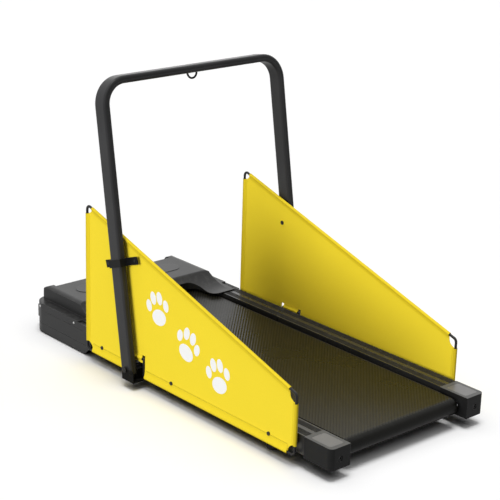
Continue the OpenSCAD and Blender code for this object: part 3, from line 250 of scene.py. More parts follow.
def fill_edge(wiring: Wiring, given: dict[str, bpy.types.NodeSocket]) -> dict[str, bpy.types.NodeSocket]:
    """Mask of worn edges, where the rounded normal leaves the face's own.

    Args:
        wiring: The group's wiring.
        given: The group's inputs.

    Returns:
        The group's results by name.
    """
    rounded = wiring.node("ShaderNodeBevel", {"Radius": given["Edge Radius"]}, samples=4).outputs[0]
    plain = wiring.node("ShaderNodeNewGeometry").outputs["Normal"]
    dot = wiring.node("ShaderNodeVectorMath", {0: rounded, 1: plain}, operation="DOT_PRODUCT").outputs["Value"]
    scuff = wiring.ramp(wiring.noise(wiring.place(), 140.0, 3.0), 0.35, 0.7)
    lifted = wiring.ramp(dot, 0.995, 0.86)
    return {"Wear": wiring.math("MULTIPLY", lifted, scuff)}


def fill_dust(wiring: Wiring, given: dict[str, bpy.types.NodeSocket]) -> dict[str, bpy.types.NodeSocket]:
    """Mask of light dust on faces that look up.

    Args:
        wiring: The group's wiring.
        given: The group's inputs.

    Returns:
        The group's results by name.
    """
    specks = wiring.ramp(wiring.noise(wiring.place(), 60.0, 6.0), 0.42, 0.75)
    amount = wiring.math("MULTIPLY", wiring.ramp(wiring.upward(), 0.4, 0.95), specks)
    return {"Dust": wiring.math("MULTIPLY", amount, given["Amount"])}


def fill_streaks(wiring: Wiring, given: dict[str, bpy.types.NodeSocket]) -> dict[str, bpy.types.NodeSocket]:
    """Fine streaks, long in one direction, as on drawn or turned metal.

    Args:
        wiring: The group's wiring.
        given: The group's inputs.

    Returns:
        The group's results by name.
    """
    stretch = wiring.node("ShaderNodeCombineXYZ", {0: given["Scale X"], 1: given["Scale Y"], 2: given["Scale Z"]})
    scaled = wiring.node("ShaderNodeVectorMath", {0: wiring.place(), 1: stretch.outputs[0]}, operation="MULTIPLY")
    return {"Streak": wiring.noise(scaled.outputs[0], 1.0, 3.0)}


def fill_weave(wiring: Wiring, given: dict[str, bpy.types.NodeSocket]) -> dict[str, bpy.types.NodeSocket]:
    """Plain weave in the X-Z plane, with slubs that vary the threads.

    Args:
        wiring: The group's wiring.
        given: The group's inputs.

    Returns:
        The group's results by name.
    """
    parts = wiring.node("ShaderNodeSeparateXYZ", {0: wiring.place()}).outputs
    turn = wiring.math("DIVIDE", math.pi, given["Pitch"])
    waves = [wiring.math("SINE", wiring.math("MULTIPLY", parts[axis], turn)) for axis in ("X", "Z")]
    crossing = wiring.math("MULTIPLY_ADD", wiring.math("MULTIPLY", *waves), 0.5, 0.5)
    slub = wiring.noise(wiring.place(), 420.0, 4.0)
    return {"Height": crossing, "Slub": wiring.ramp(slub, 0.3, 0.7)}


def fill_ribs(wiring: Wiring, given: dict[str, bpy.types.NodeSocket]) -> dict[str, bpy.types.NodeSocket]:
    """Parallel round ribs across a chosen direction in plan.

    Args:
        wiring: The group's wiring.
        given: The group's inputs.

    Returns:
        The group's results by name.
    """
    parts = wiring.node("ShaderNodeSeparateXYZ", {0: wiring.place()}).outputs
    along = wiring.math("MULTIPLY", parts["X"], wiring.math("COSINE", given["Angle"]))
    across = wiring.math("MULTIPLY_ADD", parts["Y"], wiring.math("SINE", given["Angle"]), along)
    phase = wiring.math("MULTIPLY", across, wiring.math("DIVIDE", 2 * math.pi, given["Pitch"]))
    return {"Rib": wiring.math("MULTIPLY_ADD", wiring.math("SINE", phase), 0.5, 0.5)}


GRAIN = Effect("Moulded grain", (("Grain Scale", 900.0), ("Patch Scale", 5.0)), ("Height", "Patch"), fill_grain)
EDGE = Effect("Edge wear", (("Edge Radius", 0.0012),), ("Wear",), fill_edge)
DUST = Effect("Settled dust", (("Amount", 0.1),), ("Dust",), fill_dust)
STREAKS = Effect("Drawn streaks", (("Scale X", 8.0), ("Scale Y", 900.0), ("Scale Z", 900.0)), ("Streak",),
                 fill_streaks)
WEAVE = Effect("Plain weave", (("Pitch", 0.0009),), ("Height", "Slub"), fill_weave)
RIBS = Effect("Parallel ribs", (("Angle", 0.0), ("Pitch", 0.005)), ("Rib",), fill_ribs)


@dataclass(frozen=True)
class Finish:
    """A moulded or painted surface with fine grain, tone patches, edge wear and a little dust."""

    name: str
    colour: Colour
    roughness: float = 0.5
    metallic: float = 0.0
    grain_scale: float = 900.0
    grain_depth: float = 0.00006
    tone: float = 0.12
    edge_radius: float = 0.0012
    wear: float = 0.1
    dust: float = 0.04
    coat: float = 0.0
    specular: float = 0.5
    dust_colour: ClassVar[Colour] = (0.35, 0.34, 0.32)
    coat_roughness: ClassVar[float] = 0.12
    worn_lift: ClassVar[float] = 0.3
    rough_swing: ClassVar[float] = 0.07

    def material(self) -> bpy.types.Material:
        """Returns the finish's material, made on first use."""
        found = bpy.data.materials.get(self.name)
        if found:
            return found
        material = bpy.data.materials.new(self.name)
        material.use_nodes = True
        wiring = Wiring(material.node_tree)
        shader = material.node_tree.nodes["Principled BSDF"]
        shader.inputs["Metallic"].default_value = self.metallic
        shader.inputs["Specular IOR Level"].default_value = self.specular
        shader.inputs["Coat Weight"].default_value = self.coat
        shader.inputs["Coat Roughness"].default_value = self.coat_roughness
        material.diffuse_color = (*self.colour, 1.0)
        self.wire(wiring, shader)
        return material

    def wire(self, wiring: Wiring, shader: bpy.types.Node) -> None:
        """Wires colour, roughness and normal into the shader.

        Args:
            wiring: The material's wiring.
            shader: Its Principled BSDF.
        """
        grain = GRAIN.use(wiring, Grain_Scale=self.grain_scale)
        wear = wiring.math("MULTIPLY", EDGE.use(wiring, Edge_Radius=self.edge_radius)["Wear"], self.wear)
        dust = DUST.use(wiring, Amount=self.dust)["Dust"]
        toned = self.toned(wiring, grain)
        worn = wiring.blend(wear, toned, self.lifted(self.worn_lift))
        wiring.put(shader.inputs["Base Color"], wiring.blend(dust, worn, self.dust_colour))
        low, high = (self.roughness * (1.0 + sign * self.rough_swing) for sign in (-1, 1))
        rough = wiring.ramp(grain["Patch"], 0.0, 1.0, low, high)
        wiring.put(shader.inputs["Roughness"], wiring.math("ADD", rough, dust, clamp=True))
        wiring.put(shader.inputs["Normal"], self.normal(wiring, self.height(wiring, grain)))

    def toned(self, wiring: Wiring, grain: bpy.types.NodeOutputs) -> bpy.types.NodeSocket:
        """Returns the base colour with its slow patches of tone."""
        return wiring.blend(grain["Patch"], self.shade(1.0 - self.tone), self.shade(1.0 + self.tone))

    def height(self, wiring: Wiring, grain: bpy.types.NodeOutputs) -> bpy.types.NodeSocket:
        """Returns the surface's fine relief in metres."""
        return wiring.math("MULTIPLY", grain["Height"], self.grain_depth)

    def normal(self, wiring: Wiring, height: bpy.types.NodeSocket) -> bpy.types.NodeSocket:
        """Returns the normal with rounded edges and fine relief.

        Args:
            wiring: The material's wiring.
            height: The relief in metres.
        """
        rounded = wiring.node("ShaderNodeBevel", {"Radius": self.edge_radius}, samples=6).outputs[0]
        bump = wiring.node("ShaderNodeBump", {"Strength": 1.0, "Distance": 1.0, "Height": height, "Normal": rounded})
        return bump.outputs[0]

    def shade(self, share: float) -> Colour:
        """Returns the colour scaled by a share."""
        return tuple(min(part * share, 1.0) for part in self.colour)

    def lifted(self, amount: float) -> Colour:
        """Returns the colour moved towards white by an amount."""
        return tuple(part + (1.0 - part) * amount for part in self.colour)


@dataclass(frozen=True)
class DrawnMetal(Finish):
    """Metal or anodised metal with fine streaks along or around it."""

    streak: tuple[float, float, float] = (8.0, 900.0, 900.0)
    streak_depth: float = 0.00003

    def height(self, wiring: Wiring, grain: bpy.types.NodeOutputs) -> bpy.types.NodeSocket:
        """Returns the streaks' relief in metres."""
        names = dict(zip(("Scale_X", "Scale_Y", "Scale_Z"), self.streak))
        return wiring.math("MULTIPLY", STREAKS.use(wiring, **names)["Streak"], self.streak_depth)


@dataclass(frozen=True)
class RibbedRubber(Finish):
    """Rubber with parallel ribs on the faces that look up."""

    angle: float = 0.0
    pitch: float = 0.005
    rib_depth: float = 0.0003
    # Colour of the rib crests, paler than the grooves: painted sheen on the crests, painted shade in the grooves.
    crest_sheen_colour: Colour = (0.06, 0.058, 0.05)
    crest: float = 0.0
    fade: ClassVar[Point] = (0.002, 0.0005)

    def ribs(self, wiring: Wiring) -> bpy.types.NodeSocket:
        """Returns the ribs, faded out below the crest height."""
        rib = RIBS.use(wiring, Angle=self.angle, Pitch=self.pitch)["Rib"]
        level = wiring.node("ShaderNodeSeparateXYZ", {0: wiring.place()}).outputs["Z"]
        return wiring.math("MULTIPLY", rib, wiring.ramp(level, *(self.crest - below for below in self.fade)))

    def toned(self, wiring: Wiring, grain: bpy.types.NodeOutputs) -> bpy.types.NodeSocket:
        """Returns the rubber's colour with paler rib crests: painted sheen on the crests and painted shade in the
        grooves.
        """
        return wiring.blend(self.ribs(wiring), super().toned(wiring, grain), self.crest_sheen_colour)

    def height(self, wiring: Wiring, grain: bpy.types.NodeOutputs) -> bpy.types.NodeSocket:
        """Returns the relief of grain and ribs in metres."""
        return wiring.math("MULTIPLY_ADD", self.ribs(wiring), self.rib_depth, super().height(wiring, grain))


@dataclass(frozen=True)
class WovenCloth(Finish):
    """Tight plain-woven cloth with a light sheen, with painted shade in the thread hollows and a painted highlight on
    the thread tops.
    """

    pitch: float = 0.0009
    thread_depth: float = 0.00012
    sheen: float = 0.05
    sheen_roughness: ClassVar[float] = 0.4
    valley_shade: ClassVar[float] = 0.9
    ridge_highlight: ClassVar[float] = 1.05
    slub: ClassVar[float] = 0.93
    slub_share: ClassVar[float] = 0.25
    patch: ClassVar[float] = 0.9
    valley_rough: ClassVar[float] = 0.08
    bump_strength: ClassVar[float] = 0.8

    def wire(self, wiring: Wiring, shader: bpy.types.Node) -> None:
        """Wires the weave into the shader, with painted shade in the thread hollows and a painted highlight on the
        thread tops.

        Args:
            wiring: The material's wiring.
            shader: Its Principled BSDF.
        """
        grain = GRAIN.use(wiring, Grain_Scale=self.grain_scale)
        weave = WEAVE.use(wiring, Pitch=self.pitch)
        # Painted shade and highlight: the thread hollows darker, the thread tops paler.
        thread = wiring.blend(weave["Height"], self.shade(self.valley_shade), self.shade(self.ridge_highlight))
        slubs = wiring.math("MULTIPLY", weave["Slub"], self.slub_share)
        slubbed = wiring.blend(slubs, thread, self.shade(self.slub))
        patches = wiring.math("MULTIPLY", grain["Patch"], self.tone)
        toned = wiring.blend(patches, slubbed, self.shade(self.patch))
        wiring.put(shader.inputs["Base Color"], toned)
        rough = wiring.ramp(weave["Height"], 0.0, 1.0, self.roughness + self.valley_rough, self.roughness)
        wiring.put(shader.inputs["Roughness"], rough)
        shader.inputs["Sheen Weight"].default_value = self.sheen
        shader.inputs["Sheen Roughness"].default_value = self.sheen_roughness
        height = wiring.math("MULTIPLY", weave["Height"], self.thread_depth)
        relief = {"Strength": self.bump_strength, "Distance": 1.0, "Height": height}
        bump = wiring.node("ShaderNodeBump", relief)
        wiring.put(shader.inputs["Normal"], bump.outputs[0])


@dataclass(frozen=True)
class SheenToppedPlastic(Finish):
    """Moulded plastic with a paler colour painted on its flat top: a painted sheen."""

    # film: the paler colour painted on the flat top, a painted sheen
    film: Colour = (0.08, 0.08, 0.078)
    slanted: ClassVar[float] = 0.97
    level: ClassVar[float] = 0.995

    def toned(self, wiring: Wiring, grain: bpy.types.NodeOutputs) -> bpy.types.NodeSocket:
        """Returns the plastic's colour, and the paler painted sheen on faces that look up."""
        top = wiring.ramp(wiring.upward(), self.slanted, self.level)
        return wiring.blend(top, super().toned(wiring, grain), self.film)


@dataclass(frozen=True)
class WoodBoard(Finish):
    """Fibreboard with long soft streaks of tone."""

    def toned(self, wiring: Wiring, grain: bpy.types.NodeOutputs) -> bpy.types.NodeSocket:
        """Returns the board's streaked colour."""
        streak = STREAKS.use(wiring, Scale_X=3.0, Scale_Y=70.0, Scale_Z=200.0)["Streak"]
        return wiring.blend(streak, self.shade(0.7), self.shade(1.25))


FINISHES: dict[str, Finish] = {
    "frame_steel": Finish("Black powder coat", (0.012, 0.012, 0.012), 0.5, grain_scale=1600.0, grain_depth=0.00008,
                          specular=0.2),
    "rail_black": DrawnMetal("Anodised rail", (0.02, 0.02, 0.02), 0.26, wear=0.25, specular=0.35),
    "grip_rubber": RibbedRubber("Grip strip rubber", (0.008, 0.008, 0.008), 0.6, angle=math.pi / 2, pitch=0.0032,
                                rib_depth=0.0006, crest_sheen_colour=(0.011, 0.011, 0.011), crest=0.0985, specular=0.12),
    "deck_wood": WoodBoard("Black faced board", (0.018, 0.016, 0.014), 0.5, specular=0.2),
    "soft_rubber": Finish("Foot rubber", (0.01, 0.01, 0.01), 0.75, grain_depth=0.0001, specular=0.15),
    "belt_rubber": RibbedRubber("Walking belt rubber", (0.0038, 0.0036, 0.0026), 0.28, angle=math.pi / 4,
                                pitch=0.0086, rib_depth=0.0005, crest_sheen_colour=(0.016, 0.0151, 0.0108), crest=0.0895,
                                dust=0.01, specular=0.09),
    "bright_steel": DrawnMetal("Turned steel", (0.55, 0.55, 0.55), 0.3, 1.0, streak=(900.0, 12.0, 900.0), wear=0.0),
    "pulley_aluminium": DrawnMetal("Turned aluminium", (0.6, 0.6, 0.61), 0.34, 1.0, streak=(900.0, 900.0, 30.0),
                                   wear=0.0),
    "flywheel_iron": Finish("Machined casting", (0.14, 0.14, 0.145), 0.45, 1.0, grain_scale=500.0),
    # The end caps' flat tops take a paler painted sheen.
    "cap_plastic": SheenToppedPlastic("End cap plastic", (0.012, 0.012, 0.012), 0.4, edge_radius=0.0025, specular=0.08),
    "plate_grey": Finish("Bare plate film", (0.105, 0.103, 0.1), 0.34, grain_depth=0.00002, edge_radius=0.0006,
                          specular=0.3),
    "motor_paint": Finish("Motor enamel", (0.02, 0.02, 0.022), 0.35, coat=0.2),
    "drive_belt_rubber": Finish("Drive belt rubber", (0.012, 0.012, 0.012), 0.7, specular=0.2),
    "board_green": Finish("Printed board", (0.02, 0.1, 0.04), 0.4, grain_scale=300.0, grain_depth=0.0002),
    "hood_plastic": Finish("Hood plastic", (0.01, 0.01, 0.01), 0.36, edge_radius=0.0015, specular=0.2),
    "shell_plastic": Finish("Lower housing plastic", (0.028, 0.028, 0.028), 0.42, edge_radius=0.0015, specular=0.13),
    "bumper_rubber": Finish("Bumper rubber", (0.01, 0.01, 0.01), 0.7, edge_radius=0.003, specular=0.15),
    "oval_gloss": Finish("Dark oval panel", (0.01, 0.01, 0.0105), 0.34, grain_depth=0.00002, specular=0.2),
    "socket_plastic": Finish("Socket plastic", (0.01, 0.01, 0.01), 0.5, specular=0.2),
    "rocker_red": Finish("Rocker plastic", (0.3, 0.012, 0.01), 0.25, coat=0.3),
    "wheel_plastic": Finish("Wheel plastic", (0.012, 0.012, 0.012), 0.55, specular=0.2),
    "arch_paint": Finish("Arch powder coat", (0.032, 0.032, 0.033), 0.34, grain_scale=1800.0, grain_depth=0.00004,
                         edge_radius=0.0012, specular=0.12),
    "plug_plastic": Finish("Plug plastic", (0.01, 0.01, 0.01), 0.55, specular=0.2),
    "ring_steel": Finish("Black plated rod", (0.012, 0.012, 0.012), 0.3, specular=0.3),
    "strap_plastic": Finish("Strap plastic", (0.007, 0.007, 0.007), 0.5, specular=0.09),
    "dark_screw": Finish("Black oxide", (0.012, 0.012, 0.012), 0.4, wear=0.3, edge_radius=0.0006, specular=0.2),
    "rod_paint": Finish("Rod enamel", (0.01, 0.01, 0.01), 0.35, specular=0.2),
    "yellow_cloth": WovenCloth("Yellow cloth", (0.93, 0.72, 0.036), 0.7, specular=0.15),
    "spacer_plastic": Finish("Spacer plastic", (0.01, 0.01, 0.01), 0.55, specular=0.15),
}
# The arch shoes' coat is painted far darker than the arch's: painted shade for the shade they sit in at the arch's
# foot.
SHADED_SHOE_COAT = Finish("Shoe powder coat", (0.003, 0.003, 0.003), 0.5, specular=0.05)
NODE_FINISHES: dict[str, Finish] = {
    **{f"tension_bolt_{side.word}": FINISHES["dark_screw"] for side in Side},
    **{f"arch_shoe_{side.word}": SHADED_SHOE_COAT for side in Side},
}
# The hem and the sleeve are darker copies of the yellow cloth: painted shade on the folded hem bands and the round
# sleeves.
SHADED_HEM_CLOTH = WovenCloth("Yellow hem", (0.84, 0.646, 0.026), 0.7, pitch=0.0011, specular=0.15)
SHADED_SLEEVE_CLOTH = WovenCloth("Yellow sleeve", (0.7, 0.53, 0.02), 0.75, pitch=0.0011, specular=0.1)
THREAD = Finish("Sewing thread", (0.12, 0.085, 0.008), 0.7, grain_depth=0.0)
PRINT_WHITE = WovenCloth("White print", (0.93, 0.93, 0.92), 0.6, specular=0.2)


def new_piece(name: str, bm: bmesh.types.BMesh, finish: Finish, body: str) -> bpy.types.Object:
    """Turns a built mesh into a piece that rides on a body.

    Args:
        name: The piece's name.
        bm: The built mesh, which is freed.
        finish: Its finish.
        body: The body that carries it.

    Returns:
        The new object.
    """
    mesh = bpy.data.meshes.new(name)
    bmesh.ops.recalc_face_normals(bm, faces=bm.faces)
    bm.to_mesh(mesh)
    bm.free()
    mesh.materials.append(finish.material())
    mesh.shade_smooth()
    mesh.set_sharp_from_angle(angle=SHARP_ANGLE)
    piece = bpy.data.objects.new(name, mesh)
    bpy.context.scene.collection.objects.link(piece)
    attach(piece, body)
    LOG.info("piece %s: %d faces", name, len(mesh.polygons))
    return piece


@dataclass(frozen=True)
class SoftSun:
    """A distant soft light: its direction from the object, the angle it covers in degrees and its strength."""

    name: str
    towards: tuple[float, float, float]
    spread: float
    strength: float
    on_floor: bool = True
    in_reflections: bool = True

    def build(self) -> bpy.types.Object:
        """Adds the light and returns it."""
        data = bpy.data.lights.new(self.name, "SUN")
        data.angle = math.radians(self.spread)
        data.energy = self.strength
        light = bpy.data.objects.new(self.name, data)
        light.rotation_euler = (-Vector(self.towards)).to_track_quat("-Z", "Y").to_euler()
        light.visible_glossy = self.in_reflections
        bpy.context.scene.collection.objects.link(light)
        return light


@dataclass
class Studio:
    """Camera at the photograph's angle, white floor and soft lights."""

    camera_place: tuple[float, float, float] = (3.357, -2.9819, 1.9334)
    azimuth: float = math.radians(48.215)
    elevation: float = math.radians(18.794)
    roll: float = math.radians(1.692)
    focal_px: float = 1550.1
    frame_px: float = 500.0
    sensor_mm: float = 36.0
    floor_half: float = 30.0
    floor_white: float = 1.0
    floor_bounce: float = 0.18
    ambient: float = 0.05
    lights: ClassVar[tuple[SoftSun, ...]] = (
        SoftSun("Overhead key", (0.03, -0.05, 1.0), 24.0, 1.62),
        SoftSun("Overhead dome", (0.0, 0.0, 1.0), 100.0, 1.42),
        SoftSun("Left fill", (0.05, -0.97, 0.21), 38.0, 2.84, on_floor=False, in_reflections=False),
        SoftSun("Right fill", (-0.1, 0.97, 0.18), 38.0, 1.9, on_floor=False, in_reflections=False),
        SoftSun("Back light", (-0.75, 0.66, 0.4), 40.0, 0.2, on_floor=False),
    )
    lit: bpy.types.Collection | None = None

    def build(self) -> None:
        """Builds the camera, the floor, the world and the lights."""
        self.build_camera()
        self.build_floor()
        self.build_world()
        self.build_lights()

    def build_camera(self) -> None:
        """Places the camera."""
        a, e, r = self.azimuth, self.elevation, self.roll
        back = Vector((math.sin(a) * math.cos(e), -math.cos(a) * math.cos(e), math.sin(e)))
        level = Vector((math.cos(a), math.sin(a), 0.0))
        raised = back.cross(level)
        right = math.cos(r) * level + math.sin(r) * raised
        up = math.cos(r) * raised - math.sin(r) * level
        data = bpy.data.cameras.new("Camera")
        data.sensor_width = self.sensor_mm
        data.lens = self.focal_px * self.sensor_mm / self.frame_px
        data.clip_end = 100.0
        camera = bpy.data.objects.new("Camera", data)
        turn = Matrix((right, up, back)).transposed().to_4x4()
        camera.matrix_world = Matrix.Translation(self.camera_place) @ turn
        bpy.context.scene.collection.objects.link(camera)
        bpy.context.scene.camera = camera

    def build_floor(self) -> None:
        """Lays the white floor, which keeps the shadow and lights the object from below only a little."""
        half = self.floor_half
        mesh = bpy.data.meshes.new("Floor")
        mesh.from_pydata([(-half, -half, 0), (half, -half, 0), (half, half, 0), (-half, half, 0)], [], [(0, 1, 2, 3)])
        floor = bpy.data.objects.new("Floor", mesh)
        bpy.context.scene.collection.objects.link(floor)
        material = bpy.data.materials.new("Floor white")
        material.use_nodes = True
        wiring = Wiring(material.node_tree)
        shader = material.node_tree.nodes["Principled BSDF"]
        shader.inputs["Roughness"].default_value = 1.0
        shader.inputs["Specular IOR Level"].default_value = 0.0
        tone = wiring.ramp(self.seen(wiring), 0.0, 1.0, self.floor_bounce, self.floor_white)
        wiring.put(shader.inputs["Base Color"], tone)
        mesh.materials.append(material)

    @staticmethod
    def seen(wiring: Wiring) -> bpy.types.NodeSocket:
        """Returns 1 for rays that show the background to the camera, and 0 for the rest."""
        rays = wiring.node("ShaderNodeLightPath").outputs
        direct = wiring.math("MAXIMUM", rays["Is Camera Ray"], rays["Is Glossy Ray"])
        return wiring.math("MAXIMUM", direct, rays["Is Transmission Ray"])

    def build_world(self) -> None:
        """Makes the world white to the eye and a soft fill for the object."""
        world = bpy.data.worlds.new("Studio")
        bpy.context.scene.world = world
        world.use_nodes = True
        wiring = Wiring(world.node_tree)
        shader = world.node_tree.nodes["Background"]
        shader.inputs["Color"].default_value = (1.0, 1.0, 1.0, 1.0)
        wiring.put(shader.inputs["Strength"], wiring.ramp(self.seen(wiring), 0.0, 1.0, self.ambient, 1.0))

    def build_lights(self) -> None:
        """Hangs two overhead lights, one wide and one narrower, a fill on each side and a back light."""
        self.lit = bpy.data.collections.new("Filled")
        for sun in self.lights:
            light = sun.build()
            if not sun.on_floor:
                light.light_linking.receiver_collection = self.lit

    def fill_all(self) -> None:
        """Lets the side lights reach every piece but the floor, which shows the overhead shadow alone."""
        for piece in bpy.context.scene.objects:
            if piece.type == "MESH" and piece.name != "Floor":
                self.lit.objects.link(piece)


@dataclass
class SolidParts:
    """The rigid CAD nodes, which keep their meshes and take the finish of their slot."""

    record: dict
    nodes: dict[str, bpy.types.Object]

    def dress(self) -> None:
        """Gives each node its finish."""
        for part in self.record["subparts"]:
            node = self.nodes[part["node"]]
            node.data.materials.clear()
            finish = NODE_FINISHES.get(part["node"], FINISHES[part["material_slot"]])
            node.data.materials.append(finish.material())
            LOG.info("dressed %s in %s", part["node"], finish.name)


@dataclass
class SidePanel:
    """A cloth panel stretched on its rod frame, with hems, stitches and a printed design."""

    side: Side
    front_x: float = -0.377
    rear_x: float = 0.588
    low_z: float = 0.038
    front_z: float = 0.516
    rear_z: float = 0.22
    plane_y: float = 0.322
    corner_cut: float = 0.028
    notch: Point = (-0.173, -0.081)
    notch_top: float = 0.082
    slot_width: float = 0.012
    slot_top: float = 0.108
    bridge_z: float = 0.096
    cloth: float = 0.0012
    sleeve: float = 0.0055
    hem_width: float = 0.0135
    low_hem_width: float = 0.027
    hem_half: float = 0.0011
    ripple: float = 0.0004
    cell: float = 0.024
    stitch_pitch: float = 0.0055
    stitch_length: float = 0.0042
    stitch_half: float = 0.0009
    stitch_rise: float = 0.0004
    stitch_inset: float = 0.003
    hem_cell: float = 0.04
    print_lift: float = 0.00015
    corner_cells: ClassVar[int] = 10
    upper_cells: ClassVar[int] = 18
    lower_cells: ClassVar[int] = 4
    sleeve_steps: ClassVar[int] = 18
    hem_shares: ClassVar[tuple[float, ...]] = (1.0, 0.85, 0.7, 0.55, 0.42)
    hem_curve: ClassVar[float] = 2.2
    pad_rings: ClassVar[int] = 4
    pad_steps: ClassVar[int] = 32

    def build(self) -> None:
        """Builds the sheet, hems, stitches and print, and hides the plain CAD cloth."""
        sheet = self.build_sheet()
        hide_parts(f"panel_cloth_{self.side.word}")
        extras = [self.build_hems(), self.build_stitches(), self.build_print()]

    def top_z(self, x: float) -> float:
        """Returns the height of the upper rod at a place along the panel."""
        share = (x - self.front_x) / (self.rear_x - self.front_x)
        return self.front_z + share * (self.rear_z - self.front_z)

    def swell(self, x: float, z: float) -> float:
        """Returns how far the stretched cloth leaves its plane, in soft shallow ripples."""
        share = (x - self.front_x) / (self.rear_x - self.front_x)
        lift = (z - self.low_z) / max(self.top_z(x) - self.low_z, 0.01)
        hold = max(0.0, 16 * share * (1 - share) * lift * (1 - lift))
        wave = math.sin(9.0 * share + 2.2 * lift) + 0.6 * math.sin(17.0 * share - 5.0 * lift + 1.3)
        return self.ripple * hold * wave

    def point(self, x: float, z: float, out: float = 0.0) -> Vector:
        """Returns a point on the cloth, or off it by a distance outwards."""
        return Vector((x, self.side.value * (self.plane_y + self.swell(x, z) + out), z))

    def low_edge(self, x: float) -> float:
        """Returns the height of the cloth's lower edge away from the notch, with its round corners."""
        inset = min(x - self.front_x, self.rear_x - x)
        return self.low_z + math.sqrt(max(0.0, self.corner_cut ** 2 - inset ** 2))

    def high_edge(self, x: float) -> float:
        """Returns the height of the cloth's upper edge, with its round corners."""
        rounded = [end_z - math.sqrt(max(0.0, self.corner_cut ** 2 - (x - end_x) ** 2))
                   for end_x, end_z in ((self.front_x, self.front_z), (self.rear_x, self.rear_z))
                   if abs(x - end_x) < self.corner_cut]
        return min([self.top_z(x), *rounded])

    def columns(self) -> list[float]:
        """Returns the places of the mesh's columns, with the notch's edges among them."""
        x0, x1 = self.notch
        w = self.slot_width
        ends = [self.front_x, self.front_x + self.corner_cut, x0, x0 + w, x1 - w, x1,
                self.rear_x - self.corner_cut, self.rear_x]
        places = []
        for i, (low, high) in enumerate(zip(ends, ends[1:])):
            count = self.corner_cells if i in (0, len(ends) - 2) else max(1, round((high - low) / self.cell))
            places += [low + (high - low) * k / count for k in range(count)]
        return [*places, self.rear_x]

    def build_sheet(self) -> bpy.types.Object:
        """Builds the web of cloth as columns of cells above and below the top of the notch's slots."""
        bm = bmesh.new()
        x0, x1 = self.notch
        w = self.slot_width
        columns = self.columns()
        upper = [self.column(bm, x, self.slot_top, self.high_edge(x), self.upper_cells) for x in columns]
        front = self.join(bm, upper)
        spans = ((self.front_x, x0, self.low_edge), (x0 + w, x1 - w, lambda x: self.notch_top),
                 (x1, self.rear_x, self.low_edge))
        for low, high, edge in spans:
            part = [(x, row[0]) for x, row in zip(columns, upper) if low - 1e-6 < x < high + 1e-6]
            rows = [[*self.column(bm, x, edge(x), self.slot_top, self.lower_cells)[:-1], top] for x, top in part]
            front += self.join(bm, rows)
        bmesh.ops.delete(bm, geom=[vert for vert in bm.verts if not vert.link_faces], context="VERTS")
        grown = bmesh.ops.extrude_face_region(bm, geom=front)
        for vert in (item for item in grown["geom"] if isinstance(item, bmesh.types.BMVert)):
            vert.co.y += self.side.value * self.cloth
        return new_piece(f"cloth_{self.side.word}", bm, FINISHES["yellow_cloth"], "frame")

    def column(self, bm: bmesh.types.BMesh, x: float, low: float, high: float, count: int) -> list[bmesh.types.BMVert]:
        """Adds one column of points on the cloth's inner face.

        Args:
            bm: The mesh that takes it.
            x: Its place.
            low: Its lower end.
            high: Its upper end.
            count: Number of cells in it.

        Returns:
            Its points from the lower end up.
        """
        heights = [low + (high - low) * i / count for i in range(count + 1)]
        return [bm.verts.new(self.point(x, z, -self.cloth / 2)) for z in heights]

    @staticmethod
    def join(bm: bmesh.types.BMesh, rows: Sequence[Sequence[bmesh.types.BMVert]]) -> list[bmesh.types.BMFace]:
        """Fills the cells between neighbouring rows of points.

        Args:
            bm: The mesh that takes them.
            rows: Rows of equal length.

        Returns:
            The new faces.
        """
        return [bm.faces.new((one[i], two[i], two[i + 1], one[i + 1]))
                for one, two in zip(rows, rows[1:]) for i in range(len(one) - 1)]

    def runs(self) -> list[tuple[Vector, Vector, Vector, float]]:
        """Returns the sleeves as start, end and inward direction, in the X-Z plane, and the width of their hem."""
        cut = self.corner_cut
        a, b = Vector((self.front_x, self.front_z)), Vector((self.rear_x, self.rear_z))
        c, d = Vector((self.rear_x, self.low_z)), Vector((self.front_x, self.low_z))
        slope = (b - a).normalized()
        down = Vector((slope.y, -slope.x))
        x0, x1 = self.notch
        w = self.slot_width
        up, right = Vector((0.0, 1.0)), Vector((1.0, 0.0))
        wide, narrow = self.low_hem_width, self.hem_width
        return [
            (a + slope * cut, b - slope * cut, down, narrow),
            (b - up * cut, c + up * cut, -right, narrow),
            (c - right * cut, Vector((x1, self.low_z)), up, wide),
            (Vector((x0, self.low_z)), d + right * cut, up, wide),
            (d + up * cut, a - up * cut, right, narrow),
            (Vector((x0 + w, self.bridge_z)), Vector((x1 - w, self.bridge_z)), up, narrow),
        ]

    def hem_profile(self, width: float) -> list[Point]:
        """Returns a sleeve's section, with a hem of some width: inward distance and height off the cloth's plane."""
        meet = math.acos(min(1.0, self.sleeve / width))
        steps = self.sleeve_steps
        turns = [meet + (2 * math.pi - 2 * meet) * i / steps for i in range(steps + 1)]
        ring = [(self.sleeve * math.cos(t), self.sleeve * math.sin(t)) for t in turns]
        rise = ring[0][1] - self.hem_half
        blend = [(width * share, self.hem_half + rise * (1 - share) ** self.hem_curve) for share in self.hem_shares]
        return blend + ring + [(u, -v) for u, v in reversed(blend)]

